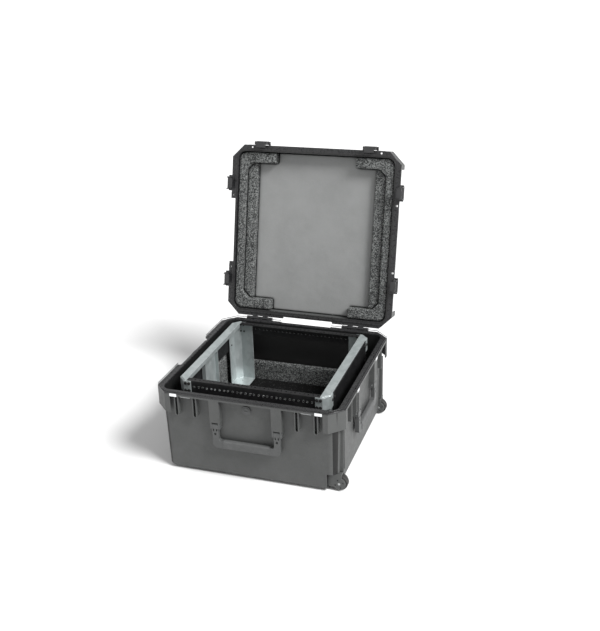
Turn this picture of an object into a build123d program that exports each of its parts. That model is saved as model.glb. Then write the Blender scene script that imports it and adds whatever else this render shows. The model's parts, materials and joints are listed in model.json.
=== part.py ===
from build123d import *
import os
from math import cos, radians, sin, tan

# Wheeled, moulded equipment case with a ten-unit rack frame inside, lid standing open.
# Millimetres. X runs to the right, Y to the back, Z up. The origin is on the floor, under the
# middle of the base. Wheels are on the +X side, the pull handle on the -X side, hinges at +Y.

# ---- Driving dimensions -------------------------------------------------------------------
CASE_WIDTH = 634.0          # over the rim flanges, along X
CASE_DEPTH = 632.0          # over the rim flanges, along Y
RIM_HEIGHT = 295.0          # floor to the base's rim
LID_DEPTH = 72.0            # rim plane to the outside of the lid's top
LID_OPEN_ANGLE = 103.4      # from closed to the open stop, degrees
FLANGE_OVERHANG = 18.0      # rim flange beyond the wall
FLANGE_THICK = 10.0
CORNER_CHAMFER = 45.0       # 45 degree cut across each flange corner
WALL = 5.0
DRAFT = 1.5                 # wall draft, degrees
BODY_CORNER_RADIUS = 34.0
FLOOR_CLEAR = 8.0           # under the base's floor
FLOOR_THICK = 6.0
PARTING_GAP = 0.5           # lid rim above base rim when closed
RIM_LAND = 7.0              # raised land on both rims, out from the wall
RIM_STEP = 1.5              # how far the flange lies below (above, on the lid) that land
FIT_GAP = 0.5               # general clearance between pieces that move past each other
PIN_CLEARANCE = 0.05        # radial, between a pin and what turns on it
LAP = 1.0                   # how far joined solids run together, and cuts run past what they cut
FLOOR_EDGE_RADIUS = 8.0     # rounding under the base
CAVITY_EDGE_RADIUS = 5.0    # rounding round the inside of the floor
ROOF_EDGE_RADIUS = 12.0     # rounding on top of the lid

# Corner guards
GUARD_HEIGHT = 60.0
LID_GUARD_HEIGHT = 46.0
GUARD_RETURN = 17.0         # guard past the chamfer, along each side
GUARD_WALL = 4.0

# Latches, three pairs: front, right and left
FRONT_LATCH_INSET = 115.0   # latch centres from the case's ends, side by side and front to back
RIGHT_LATCH_INSET = (143.0, 160.0)
LEFT_LATCH_INSET = (142.0, 132.0)
LATCH_WIDTH = 46.0
LATCH_LUG = 5.0
LATCH_PIVOT_OUT = 8.0       # pivot beyond the flange face
LATCH_PIVOT_UP = 6.0        # pivot above the rim plane
LATCH_LUG_IN = 3.0          # lug behind the flange face
LATCH_REACH = 26.0          # pivot to the lever's lower end
LATCH_BARREL_RADIUS = 6.5
LATCH_PLATE = 7.0
LATCH_FACE_OUT = 1.0        # plate's face beyond the pivot
LATCH_RIB = 4.0             # width and height of the rib along each edge
LATCH_HOOK_IN = 8.0         # hook behind the flange face
LATCH_HOOK_INSET = 6.0
LATCH_HOOK_HEIGHT = 5.5
LATCH_PIN_RADIUS = 2.5
LATCH_POCKET_FLOOR = 2.0    # left behind the trigger
TRIGGER_WIDTH = 21.0
TRIGGER_LENGTH = 15.0
TRIGGER_THICK = 3.0
TRIGGER_PROUD = 0.5
TRIGGER_BELOW_BARREL = 1.0
TRIGGER_RIDGES = (6.0, 9.0, 12.0)   # below the trigger's top
TRIGGER_RIDGE = 1.5
TRIGGER_RIDGE_INSET = 2.0
STRIKE_BEHIND_FACE = 1.0
STRIKE_WIDTH = 34.0
STRIKE_THICK = 2.0

# Keeper fins beside each latch, and padlock plates
FIN_SPREAD = 31.0           # latch centre to fin centre
FIN_WIDTH = 14.0
FIN_SLOT = 8.0
FIN_BELOW_RIM = 80.0
HASP_OFFSET_FRONT = 40.0
HASP_OFFSET_SIDE = 45.0
HASP_WIDTH = 24.0
HASP_DEPTH = 15.0
HASP_THICK = 1.5
HASP_BORE_RADIUS = 4.0
HASP_BORE_IN = 8.0          # bore centre behind the flange face

# Carry handles, front and right
HANDLE_SPAN = 208.0         # between arm centres
HANDLE_ARM_WIDTH = 20.0
HANDLE_BELOW_RIM = 99.0     # pivot below the rim
HANDLE_PIVOT_IN = 8.0       # pivot behind the flange face
HANDLE_DROP = 66.0          # pivot to the middle of the grip bar
HANDLE_BAR = 26.0           # bar height
HANDLE_THICK = 14.0
HANDLE_CORNER = 16.0
HANDLE_PIN_RADIUS = 3.0
HANDLE_GRIP_SKIN = 1.5
ARM_SLOTS = (               # sunk into each arm's face: offset, below the pivot, width, height
    (-5.0, 15.0, 4.0, 9.0),
    (5.0, 15.0, 4.0, 9.0),
    (0.0, 29.0, 7.0, 8.0),
)
ARM_SLOT_DEPTH = 5.0
HANDLE_POST_WIDTH = 34.0
HANDLE_POST_ABOVE = 11.0    # lower end of the post, above the pivot
BRACKET_HEIGHT = 22.0
BRACKET_CHEEK = 5.5
BRACKET_ROOT = 6.0          # bracket behind the wall's face, before the wall is cut from it
BRACKET_BEHIND_FACE = 1.0
BRACKET_SCREW_SPREAD = 7.0  # above and below the pivot
BRACKET_SCREW_OUT = 2.4     # screw before the wall's face
BRACKET_SCREW_TIP = 3.0     # screw past the wall's inside
GRIP_ROUNDING = 5.0

# Pull handle on the left
TOW_SPAN = 180.0            # between tube centres
TOW_COLUMN_WIDTH = 36.0
TOW_COLUMN_BOTTOM = 20.0
TOW_SLEEVE_BELOW_RIM = 57.0
TOW_SLEEVE_RADIUS = 7.4
TOW_MIDDLE_RADIUS = 6.2
TOW_INNER_RADIUS = 5.0
TOW_TUBE_WALL = 1.1
TOW_TUBE_CLEARANCE = 0.1
TOW_GRIP_HEIGHT = 26.0
TOW_GRIP_BELOW_RIM = 9.0
TOW_TUBE_STEP = 2.0         # each tube's lower end above the next outer one's
TOW_MIDDLE_ABOVE_SLEEVE = 8.0
TOW_GRIP_PAST_TUBE = 8.0
TOW_GRIP_SIDE_GAP = 2.2     # grip to the flange face
TOW_GRIP_ROUNDING = 4.0
TOW_SOCKET_BELOW_TOP = 8.0  # inner tube's end below the grip's top
TOW_NOTCH = 236.0           # gap in the flanges that the grip rises through
TOW_NOTCH_LAND = 2.0        # flange left on the wall behind that gap
BUTTON_WIDTH = 8.0
BUTTON_LENGTH = 32.0
BUTTON_CLEARANCE = 0.3
BUTTON_PROUD = 1.5
BUTTON_DEPTH = 4.5          # button below the grip's top
BUTTON_ROOM = 9.0           # its room below the grip's top
BUTTON_ROUNDING = 3.0

# Wheels on the right
WHEEL_RADIUS = 26.0
WHEEL_WIDTH = 22.0
WHEEL_INSET_X = 5.0         # wheel centre inside the wall's face at the rim
WHEEL_INSET_Y = 37.0
WHEEL_LIFT = 0.4            # tyre above the floor, the case standing on its feet
TYRE_ROUNDING = 4.0
HUB_RADIUS = 17.0
HUB_RIM = 3.0
HUB_DISH = 5.0              # how deep each face is dished
HUB_BOSS = 3.5              # boss round the axle
AXLE_RADIUS = 4.0
HOUSING_SIDE_GAP = 1.5      # tyre to cheek
HOUSING_CHEEK = 5.0
HOUSING_FIT = 0.3           # housing to the pocket's back
HOUSING_BACK = 4.0
HOUSING_ROOF = 6.6
HOUSING_ROOF_GAP = 3.0      # tyre to roof
HOUSING_HEADROOM = 2.0      # pocket above the roof
HOUSING_PAST_AXLE = 8.0
HOUSING_SKIRT = 12.0        # cheeks below the axle
HOUSING_SPARE = 10.0        # behind the tyre
HOUSING_DISC_RADIUS = 21.0
HOUSING_SCREW_CIRCLE = 13.5
HOUSING_SCREW_TURN = 20.0   # first screw hole from level, degrees
HOUSING_SCREW_RADIUS = 2.5
HOUSING_SCREW_DEPTH = 3.0
COLUMN_INSET = 10.0         # moulded column above each wheel, from the corner's rounding
COLUMN_WIDTH = 16.0
COLUMN_SLOT = 9.0
COLUMN_PROUD = 6.0
COLUMN_LAND = 6.0           # below the column's slot; half of it is left above

# Stacking ribs on the lid
ROOF_RIB_INSET = 34.0
ROOF_RIB_WIDTH = 12.0
ROOF_RIB_HEIGHT = 3.0
ROOF_RIB_GAP = 160.0

# Hinges
HINGE_BEHIND = 8.0          # axis behind the flange face
HINGE_BELOW = 1.0           # axis below the base's rim
HINGE_INSET = 132.0         # hinge centre from the case's end
HINGE_KNUCKLE_RADIUS = 7.0
HINGE_PIN_RADIUS = 3.0
HINGE_KNUCKLES = 5
HINGE_KNUCKLE_LENGTH = 20.0
HINGE_LEAF_IN = 3.0         # knuckle's web into the flange
REAR_NOTCH_WIDTH = 190.0    # finger gap between the hinges
REAR_NOTCH_DEPTH = 6.0

# Rack frame
RACK_UNITS = 10
RACK_UNIT = 44.45
RACK_HOLE_STEPS = (6.35, 22.225, 38.1)   # hole centres within one unit
RACK_HOLE_SPAN = 465.14     # between the two rows of panel holes
RACK_OPENING = 450.2        # between the rails' inner edges
RACK_HOLE_RADIUS = 3.2
RACK_WEB_HOLE_RADIUS = 2.7
RAIL_FLANGE = 19.9          # drilled flange of the front and rear rails
RAIL_BELOW_TOP = 2.0        # drilled flange below the side rails' top
RAIL_TONGUE = 4.0           # web past the drilled flange, behind the corner plates
SIDE_RAIL_CLEAR = 31.75     # side rail's outer edge beyond the panels' ends
RACK_TOP_ABOVE_RIM = 15.0
RACK_SHEET = 2.5
RACK_WEB = 42.0
SIDE_RAIL_WIDTH = 28.0
SIDE_RAIL_LIP = 12.0
SIDE_RAIL_LEG = 26.0
POST_FLANGE = 46.0
POST_FACET = 22.0
POST_BOTTOM = 84.0
POST_TOP_GAP = 10.0         # under the rails' top face
SIDE_PLATE_HEIGHT = 88.0
SIDE_PLATE_BELOW_RAIL = 1.0
STAY_WIDTH = 110.0
STAY_DEPTH = 190.0
STAY_OFF_CENTRE = -15.0
STAY_RETURN = 14.0          # folded edges
STAY_RETURN_DROP = 4.0      # folded edges below the side rail's lip
CORNER_PLATE_FRONT = 24.0
CORNER_PLATE_SIDE = 22.0
CORNER_PLATE_HEIGHT = 44.0
BOLT_RADIUS = 3.0
BOLT_HEAD_RADIUS = 5.0
BOLT_HEAD = 3.0
BOLT_CLEARANCE = 0.3
BOLT_TIP = 2.0              # bolt past the last sheet
FACE_BOLTS_ACROSS = (3.5, 15.5)     # from the post's fold, in each corner plate's long face
FACE_BOLTS_DOWN = (11.0, 36.0)      # below the side rails' top
SIDE_BOLTS_DOWN = (20.0, 75.0)
SIDE_BOLT_PAST_PLATE = 10.0         # side plate's bolts beyond the corner plate
MOUNT_RADIUS = 19.0
MOUNT_WAIST = 5.0           # waist inside the ends' radius
MOUNT_COLLAR = 8.0
MOUNT_PLATE = 4.0
MOUNT_PLATE_MARGIN = 5.0
MOUNT_INSET = 30.0          # shock mount centre from the post's outer faces

# Foam
FLOOR_FOAM_TOP = 78.0
WALL_FOAM_LIFT = 8.0        # wall foam above the floor
END_FOAM_TOP = 145.0
SIDE_FOAM_TOP = 200.0
FOAM_GAP = 1.0
WALL_FOAM_THICK = 22.0
SIDE_FOAM_THICK = 18.0
ROOF_EDGE = 3.0             # rounding inside the lid's roof
LID_FOAM_FACE = 6.0         # outer foam above the rim plane when closed
LID_STEP_FACE = 18.0        # inner step above the rim plane when closed
LID_PANEL_THICK = 30.0
LID_FOAM_BEYOND_RACK = 8.0  # outer foam from the rack frame's outer edge
LID_STEP_WIDTH = 40.0
LID_BLOCK_LENGTH = 112.0
LID_BLOCK_DEPTH = 39.0

# Seal, valve and feet
SEAL_WIDTH = 3.0
SEAL_HEIGHT = 3.0
SEAL_INSET = 2.0            # seal outside the cavity's edge
VALVE_BELOW_RIM = 37.0
VALVE_RADIUS = 15.0
VALVE_STEM_RADIUS = 8.0
VALVE_STEM_LENGTH = 12.0
VALVE_FLANGE = 4.0          # valve before the wall's face
VALVE_RIM = 4.0             # round the cap
VALVE_CAP_GAP = 0.3
VALVE_CAP_OUT = 5.0         # cap's face and back before the wall's face
VALVE_CAP_BACK = 2.5
VALVE_SLOT_LENGTH = 14.0
VALVE_SLOT_WIDTH = 2.0
VALVE_SLOT_DEPTH = 1.5
FOOT_INSET_X = 99.0         # foot centre inside the wall's face at the rim
FOOT_INSET_Y = 46.0
FOOT_LENGTH = 60.0
FOOT_WIDTH = 44.0
PAD_THICK = 2.5
PAD_MARGIN = 5.0

# ---- Worked-out sizes ---------------------------------------------------------------------
HALF_W = CASE_WIDTH / 2
HALF_D = CASE_DEPTH / 2
WALL_HALF_W = HALF_W - FLANGE_OVERHANG
WALL_HALF_D = HALF_D - FLANGE_OVERHANG
INSIDE_HALF_W = WALL_HALF_W - WALL
INSIDE_HALF_D = WALL_HALF_D - WALL
FLOOR_Z = FLOOR_CLEAR + FLOOR_THICK
LID_RIM = RIM_HEIGHT + PARTING_GAP
LID_TOP = RIM_HEIGHT + LID_DEPTH
LID_ROOF = LID_TOP - WALL
LID_FOAM_ROOF = LID_ROOF - FOAM_GAP
HINGE_Y = HALF_D + HINGE_BEHIND
HINGE_Z = RIM_HEIGHT - HINGE_BELOW
FLANGE_BOTTOM = RIM_HEIGHT - FLANGE_THICK
RACK_TOP = RIM_HEIGHT + RACK_TOP_ABOVE_RIM
BOLT_HOLE = BOLT_RADIUS + BOLT_CLEARANCE
RACK_LENGTH = RACK_UNITS * RACK_UNIT
RACK_WIDTH = RACK_LENGTH + 2 * SIDE_RAIL_CLEAR
RACK_DEPTH = RACK_OPENING + 2 * RAIL_FLANGE
FRONT_LATCH_X = HALF_W - FRONT_LATCH_INSET
RIGHT_LATCH_Y = (RIGHT_LATCH_INSET[0] - HALF_D, HALF_D - RIGHT_LATCH_INSET[1])
LEFT_LATCH_Y = (LEFT_LATCH_INSET[0] - HALF_D, HALF_D - LEFT_LATCH_INSET[1])
LATCH_PIVOT_Z = RIM_HEIGHT + LATCH_PIVOT_UP
TRIGGER_TOP = LATCH_PIVOT_Z - LATCH_BARREL_RADIUS - TRIGGER_BELOW_BARREL
FIN_BOTTOM = RIM_HEIGHT - FIN_BELOW_RIM
HANDLE_PIVOT_Z = RIM_HEIGHT - HANDLE_BELOW_RIM
HANDLE_POST_BOTTOM = HANDLE_PIVOT_Z + HANDLE_POST_ABOVE
TOW_SLEEVE_TOP = RIM_HEIGHT - TOW_SLEEVE_BELOW_RIM
TOW_GRIP_TOP = RIM_HEIGHT - TOW_GRIP_BELOW_RIM
WHEEL_X = WALL_HALF_W - WHEEL_INSET_X
WHEEL_Y = WALL_HALF_D - WHEEL_INSET_Y
WHEEL_Z = WHEEL_RADIUS + WHEEL_LIFT
HOUSING_HEIGHT = WHEEL_Z + WHEEL_RADIUS + HOUSING_ROOF_GAP + HOUSING_ROOF
HOUSING_HALF = WHEEL_WIDTH / 2 + HOUSING_SIDE_GAP + HOUSING_CHEEK
POCKET_HEIGHT = HOUSING_HEIGHT + HOUSING_HEADROOM
HOUSING_INNER_X = WHEEL_X - WHEEL_RADIUS - HOUSING_SPARE
COLUMN_Y = WALL_HALF_D - BODY_CORNER_RADIUS - COLUMN_INSET
HINGE_X = HALF_W - HINGE_INSET
LID_FOAM_INNER_X = RACK_WIDTH / 2 + LID_FOAM_BEYOND_RACK
LID_STEP_INNER_X = LID_FOAM_INNER_X - LID_STEP_WIDTH
VALVE_Z = RIM_HEIGHT - VALVE_BELOW_RIM
VALVE_FACE = -WALL_HALF_D + VALVE_BELOW_RIM * tan(radians(DRAFT))
FOOT_X = WALL_HALF_W - FOOT_INSET_X
FOOT_Y = WALL_HALF_D - FOOT_INSET_Y
LATCHES = {
    "front_left": ("front", -FRONT_LATCH_X),
    "front_right": ("front", FRONT_LATCH_X),
    "right_front": ("right", RIGHT_LATCH_Y[0]),
    "right_rear": ("right", RIGHT_LATCH_Y[1]),
    "left_front": ("left", LEFT_LATCH_Y[0]),
    "left_rear": ("left", LEFT_LATCH_Y[1]),
}
HASPS = [
    ("front", -FRONT_LATCH_X - HASP_OFFSET_FRONT),
    ("front", FRONT_LATCH_X + HASP_OFFSET_FRONT),
    ("right", RIGHT_LATCH_Y[0] + HASP_OFFSET_SIDE),
    ("right", RIGHT_LATCH_Y[1] - HASP_OFFSET_SIDE),
    ("left", LEFT_LATCH_Y[0] + HASP_OFFSET_SIDE),
    ("left", LEFT_LATCH_Y[1] - HASP_OFFSET_SIDE),
]


# ---- Helpers ------------------------------------------------------------------------------
def block(x0, x1, y0, y1, z0, z1):
    """Box between two opposite corners, given in any order."""
    middle = Pos((x0 + x1) / 2, (y0 + y1) / 2, (z0 + z1) / 2)
    return middle * Box(abs(x1 - x0), abs(y1 - y0), abs(z1 - z0))


def rod(radius, start, end):
    """Cylinder from one point to another."""
    way = Vector(*end) - Vector(*start)
    upright = Cylinder(radius, way.length, align=(Align.CENTER, Align.CENTER, Align.MIN))
    return Plane(origin=start, z_dir=way) * upright


def prism(sketch, low, high):
    """Upright extrusion of a flat outline between two heights."""
    return extrude(Pos(0, 0, low) * sketch, high - low)


def rounded(half_x, half_y, radius):
    return RectangleRounded(2 * half_x, 2 * half_y, radius)


def rim_outline(inset=0.0):
    """Rim flange outline: a rectangle with its corners cut at 45 degrees."""
    half_x, half_y = HALF_W - inset, HALF_D - inset
    cut = CORNER_CHAMFER - inset * (2 - 2 ** 0.5)
    corners = [
        (half_x - cut, half_y), (half_x, half_y - cut), (half_x, -half_y + cut), (half_x - cut, -half_y),
        (-half_x + cut, -half_y), (-half_x, -half_y + cut), (-half_x, half_y - cut), (-half_x + cut, half_y),
    ]
    return make_face(Polyline(*corners, close=True))


def four_corners(piece):
    """A piece at +X +Y and its three mirror images."""
    pair = [piece, mirror(piece, Plane.YZ)]
    return pair + [mirror(each, Plane.XZ) for each in pair]


def group(pieces):
    """Separate solids kept in one node."""
    return Compound(children=[solid for piece in pieces for solid in piece.solids()])


def side_place(side, along):
    """Local frame on the flange face: x along the side, y outwards, z up from the floor."""
    if side == "front":
        return Pos(along, -HALF_D, 0) * Rot(0, 0, 180)
    if side == "rear":
        return Pos(along, HALF_D, 0)
    if side == "right":
        return Pos(HALF_W, along, 0) * Rot(0, 0, -90)
    return Pos(-HALF_W, along, 0) * Rot(0, 0, 90)


def open_lid(piece):
    """Turns a piece of the closed lid back about the hinge axis to the open stop."""
    axis = Pos(0, HINGE_Y, HINGE_Z)
    return axis * Rot(-LID_OPEN_ANGLE, 0, 0) * axis.inverse() * piece


def ring(outer, inner, low, high):
    return prism(outer, low, high) - prism(inner, low, high)


def wall_inset(z):
    """How far draft has brought the base wall in at a height."""
    return (RIM_HEIGHT - z) * tan(radians(DRAFT))


# ---- Base and lid mouldings ---------------------------------------------------------------
def drafted_box(half_x, half_y, radius, start, end):
    """Box with rounded corners that narrows by the draft from its start height to its end."""
    narrow = abs(end - start) * tan(radians(DRAFT))
    wide_face = Pos(0, 0, start) * rounded(half_x, half_y, radius)
    narrow_face = Pos(0, 0, end) * rounded(half_x - narrow, half_y - narrow, radius - narrow)
    return loft([wide_face, narrow_face])


def guards(low, high):
    """Four corner guards that hang from or stand on the rim flange."""
    skirt = ring(rim_outline(), rim_outline(GUARD_WALL), low, high)
    reach = CORNER_CHAMFER + GUARD_RETURN
    keep = four_corners(block(HALF_W - reach, HALF_W + LAP, HALF_D - reach, HALF_D + LAP, low, high))
    return [skirt & corner for corner in keep]


def tow_notch(low, high):
    """Cut through a flange that lets the pull handle rise."""
    return block(-HALF_W - LAP, -WALL_HALF_W - TOW_NOTCH_LAND, -TOW_NOTCH / 2, TOW_NOTCH / 2, low, high)


def rear_notch(low, high):
    half = REAR_NOTCH_WIDTH / 2
    return block(-half, half, HALF_D - REAR_NOTCH_DEPTH, HALF_D + LAP, low, high)


def round_ended(centre, width, back, front, low, high):
    """Upright bar with a half-round lower end, in a side's local frame."""
    half = width / 2
    bar = block(centre - half, centre + half, back, front, low + half, high)
    return bar + rod(half, (centre, back, low + half), (centre, front, low + half))


def keeper_fins(side, along):
    """The two fins beside one latch keeper, as solids, and the slots that hollow them."""
    deep = -FLANGE_OVERHANG - WALL - wall_inset(FIN_BOTTOM)
    slot_low = FIN_BOTTOM + (FIN_WIDTH - FIN_SLOT) / 2
    place = side_place(side, along)
    centres = (-FIN_SPREAD, FIN_SPREAD)
    fins = [place * round_ended(x, FIN_WIDTH, deep, 0, FIN_BOTTOM, FLANGE_BOTTOM) for x in centres]
    slots = [place * round_ended(x, FIN_SLOT, -FLANGE_OVERHANG, LAP, slot_low, FLANGE_BOTTOM) for x in centres]
    return fins, slots


def wheel_columns():
    """Moulded columns from the wheels up to the corner guards, and their slots."""
    front = COLUMN_PROUD - FLANGE_OVERHANG
    deep = -FLANGE_OVERHANG - WALL - wall_inset(HOUSING_HEIGHT)
    high = FLANGE_BOTTOM - GUARD_HEIGHT + 2 * LAP
    slot_low, slot_high = POCKET_HEIGHT + COLUMN_LAND, high - COLUMN_LAND / 2
    columns, slots = [], []
    for way in (-1, 1):
        place = side_place("right", way * COLUMN_Y)
        half, slot = COLUMN_WIDTH / 2, COLUMN_SLOT / 2
        columns.append(place * block(-half, half, deep, front, POCKET_HEIGHT, high))
        slots.append(place * block(-slot, slot, -FLANGE_OVERHANG, front + LAP, slot_low, slot_high))
    return columns, slots


def rim_steps():
    """Cuts that leave a raised land inside both rims."""
    land = rounded(WALL_HALF_W + RIM_LAND, WALL_HALF_D + RIM_LAND, BODY_CORNER_RADIUS + RIM_LAND)
    base_cut = ring(rim_outline(-LAP), land, RIM_HEIGHT - RIM_STEP, RIM_HEIGHT + LAP)
    lid_cut = ring(rim_outline(-LAP), land, LID_RIM - LAP, LID_RIM + RIM_STEP)
    return base_cut, lid_cut


def handle_posts(side):
    """Moulded posts above a carry handle's brackets."""
    deep = -FLANGE_OVERHANG - WALL - wall_inset(HANDLE_POST_BOTTOM)
    half = HANDLE_POST_WIDTH / 2
    return [
        side_place(side, 0) * block(
            way * HANDLE_SPAN / 2 - half, way * HANDLE_SPAN / 2 + half, deep, 0, HANDLE_POST_BOTTOM, FLANGE_BOTTOM
        )
        for way in (-1, 1)
    ]


def tow_columns():
    """Moulded columns that hold the pull handle's sleeves."""
    deep = -FLANGE_OVERHANG - WALL - wall_inset(TOW_COLUMN_BOTTOM)
    half = TOW_COLUMN_WIDTH / 2
    return [
        side_place("left", way * TOW_SPAN / 2) * block(-half, half, deep, 0, TOW_COLUMN_BOTTOM, TOW_SLEEVE_TOP)
        for way in (-1, 1)
    ]


def hinge_knuckles(part, centre):
    """Every second knuckle of one hinge: part 0 is the base's, part 1 the lid's."""
    step = HINGE_KNUCKLE_LENGTH
    first = centre - HINGE_KNUCKLES * step / 2
    pieces = []
    for index in range(part, HINGE_KNUCKLES, 2):
        x0 = first + index * step + FIT_GAP / 2
        x1 = first + (index + 1) * step - FIT_GAP / 2
        knuckle = rod(HINGE_KNUCKLE_RADIUS, (x0, HINGE_Y, HINGE_Z), (x1, HINGE_Y, HINGE_Z))
        if part == 0:
            knuckle += block(x0, x1, HALF_D - HINGE_LEAF_IN, HINGE_Y, HINGE_Z - HINGE_KNUCKLE_RADIUS, HINGE_Z)
        else:
            knuckle += block(x0, x1, HALF_D - HINGE_LEAF_IN, HINGE_Y, LID_RIM, HINGE_Z + HINGE_KNUCKLE_RADIUS)
        pieces.append(knuckle)
    return pieces


def hinge_bores(radius):
    reach = HINGE_KNUCKLES * HINGE_KNUCKLE_LENGTH / 2 + LAP
    return [
        rod(radius, (centre - reach, HINGE_Y, HINGE_Z), (centre + reach, HINGE_Y, HINGE_Z))
        for centre in (-HINGE_X, HINGE_X)
    ]


def hasp_bore(side, along):
    low, high = FLANGE_BOTTOM - FLANGE_THICK, RIM_HEIGHT + 2 * FLANGE_THICK
    return side_place(side, along) * rod(HASP_BORE_RADIUS, (0, -HASP_BORE_IN, low), (0, -HASP_BORE_IN, high))


def wheel_pocket(way, grow):
    """Space in one corner of the base for a wheel housing."""
    inner_y = WHEEL_Y - HOUSING_HALF - grow
    return block(HOUSING_INNER_X - grow, HALF_W, way * inner_y, way * HALF_D, 0, POCKET_HEIGHT + grow)


def feet(length, width, low, high):
    """Blocks at the four feet and at the one under the middle of the floor."""
    foot = block(-length / 2, length / 2, -width / 2, width / 2, low, high)
    return four_corners(Pos(FOOT_X, FOOT_Y, 0) * foot) + [foot]


def base_shell():
    outside = drafted_box(WALL_HALF_W, WALL_HALF_D, BODY_CORNER_RADIUS, RIM_HEIGHT, FLOOR_CLEAR)
    outside = fillet(outside.faces().sort_by(Axis.Z)[0].edges(), FLOOR_EDGE_RADIUS)
    cavity = drafted_box(INSIDE_HALF_W, INSIDE_HALF_D, BODY_CORNER_RADIUS - WALL, RIM_HEIGHT, FLOOR_Z)
    cavity = fillet(cavity.faces().sort_by(Axis.Z)[0].edges(), CAVITY_EDGE_RADIUS)
    wheel_rooms = [outside & wheel_pocket(way, WALL) for way in (-1, 1)]
    shell = outside + prism(rim_outline(), FLANGE_BOTTOM, RIM_HEIGHT)
    shell += guards(FLANGE_BOTTOM - GUARD_HEIGHT, FLANGE_BOTTOM)
    slots = []
    for side, along in LATCHES.values():
        solid_fins, fin_slots = keeper_fins(side, along)
        shell += solid_fins
        slots += fin_slots
    columns, column_slots = wheel_columns()
    shell += columns
    shell += handle_posts("front") + handle_posts("right") + tow_columns()
    shell -= cavity
    shell += wheel_rooms
    shell += feet(FOOT_LENGTH, FOOT_WIDTH, PAD_THICK, FLOOR_CLEAR + LAP)
    shell -= [wheel_pocket(way, 0) for way in (-1, 1)]
    shell -= slots + column_slots + [rim_steps()[0]]
    for centre in (-HINGE_X, HINGE_X):
        shell += hinge_knuckles(0, centre)
    shell -= hinge_bores(HINGE_PIN_RADIUS) + [hasp_bore(*place) for place in HASPS]
    shell -= [hasp(*place, lid=False) for place in HASPS]
    shell -= [strike(*place) for place in LATCHES.values()]
    shell -= [notch(FLANGE_BOTTOM - LAP, RIM_HEIGHT + LAP) for notch in (tow_notch, rear_notch)]
    shell -= [tow_bore(way, TOW_SLEEVE_RADIUS, TOW_COLUMN_BOTTOM + WALL) for way in (-1, 1)]
    shell -= rod(VALVE_STEM_RADIUS, (0, -HALF_D, VALVE_Z), (0, VALVE_FACE + VALVE_STEM_LENGTH, VALVE_Z))
    shell -= bracket_screws("front", BOLT_RADIUS) + bracket_screws("right", BOLT_RADIUS)
    return shell


def lid_closed():
    outside = drafted_box(WALL_HALF_W, WALL_HALF_D, BODY_CORNER_RADIUS, LID_RIM, LID_TOP)
    outside = fillet(outside.faces().sort_by(Axis.Z)[-1].edges(), ROOF_EDGE_RADIUS)
    cavity = drafted_box(INSIDE_HALF_W, INSIDE_HALF_D, BODY_CORNER_RADIUS - WALL, LID_RIM, LID_ROOF)
    cavity = fillet(cavity.faces().sort_by(Axis.Z)[-1].edges(), ROOF_EDGE)
    flange_top = LID_RIM + FLANGE_THICK
    shell = outside + prism(rim_outline(), LID_RIM, flange_top)
    shell += guards(flange_top, flange_top + LID_GUARD_HEIGHT)
    shell -= [cavity, rim_steps()[1]]
    shell += roof_ribs()
    for side, along in LATCHES.values():
        shell += latch_lugs(side, along)
    for centre in (-HINGE_X, HINGE_X):
        shell += hinge_knuckles(1, centre)
    shell -= hinge_bores(HINGE_PIN_RADIUS + PIN_CLEARANCE)
    shell -= [notch(LID_RIM - LAP, flange_top + LAP) for notch in (tow_notch, rear_notch)]
    shell -= [hasp_bore(*place) for place in HASPS] + [hasp(*place, lid=True) for place in HASPS]
    shell -= [latch_pin(side, along) for side, along in LATCHES.values()]
    shell -= seal_ring()
    return shell


def roof_ribs():
    """Raised stacking ribs on the outside of the lid."""
    half_x = WALL_HALF_W - ROOF_RIB_INSET
    half_y = WALL_HALF_D - ROOF_RIB_INSET
    outer = rounded(half_x, half_y, BODY_CORNER_RADIUS)
    inner = rounded(half_x - ROOF_RIB_WIDTH, half_y - ROOF_RIB_WIDTH, BODY_CORNER_RADIUS - ROOF_RIB_WIDTH)
    high = LID_TOP + ROOF_RIB_HEIGHT
    frame = ring(outer, inner, LID_TOP - LAP, high)
    gap = ROOF_RIB_GAP / 2
    frame -= block(-gap, gap, -HALF_D, HALF_D, LID_TOP, high + LAP)
    frame -= block(-HALF_W, HALF_W, -gap, gap, LID_TOP, high + LAP)
    return frame


def seal_ring():
    """Soft seal, flush in a groove of the lid's rim."""
    inner_x, inner_y = INSIDE_HALF_W + SEAL_INSET, INSIDE_HALF_D + SEAL_INSET
    radius = BODY_CORNER_RADIUS - WALL + SEAL_INSET
    outer = rounded(inner_x + SEAL_WIDTH, inner_y + SEAL_WIDTH, radius + SEAL_WIDTH)
    return ring(outer, rounded(inner_x, inner_y, radius), LID_RIM, LID_RIM + SEAL_HEIGHT)


# ---- Latches ------------------------------------------------------------------------------
def latch_lugs(side, along):
    """Two ears on the lid flange that hold one latch's pin."""
    ears = []
    for way in (-1, 1):
        near = way * (LATCH_WIDTH / 2 + FIT_GAP)
        far = way * (LATCH_WIDTH / 2 + FIT_GAP + LATCH_LUG)
        ear = block(near, far, -LATCH_LUG_IN, LATCH_PIVOT_OUT, LID_RIM + RIM_STEP, LID_RIM + 2 * LATCH_PIVOT_UP)
        radius = LATCH_PIVOT_UP - PARTING_GAP
        ear += rod(radius, (near, LATCH_PIVOT_OUT, LATCH_PIVOT_Z), (far, LATCH_PIVOT_OUT, LATCH_PIVOT_Z))
        ears.append(side_place(side, along) * ear)
    return ears


def latch_pin(side, along):
    half = LATCH_WIDTH / 2 + FIT_GAP + LATCH_LUG
    pin = rod(LATCH_PIN_RADIUS, (-half, LATCH_PIVOT_OUT, LATCH_PIVOT_Z), (half, LATCH_PIVOT_OUT, LATCH_PIVOT_Z))
    return side_place(side, along) * pin


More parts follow.
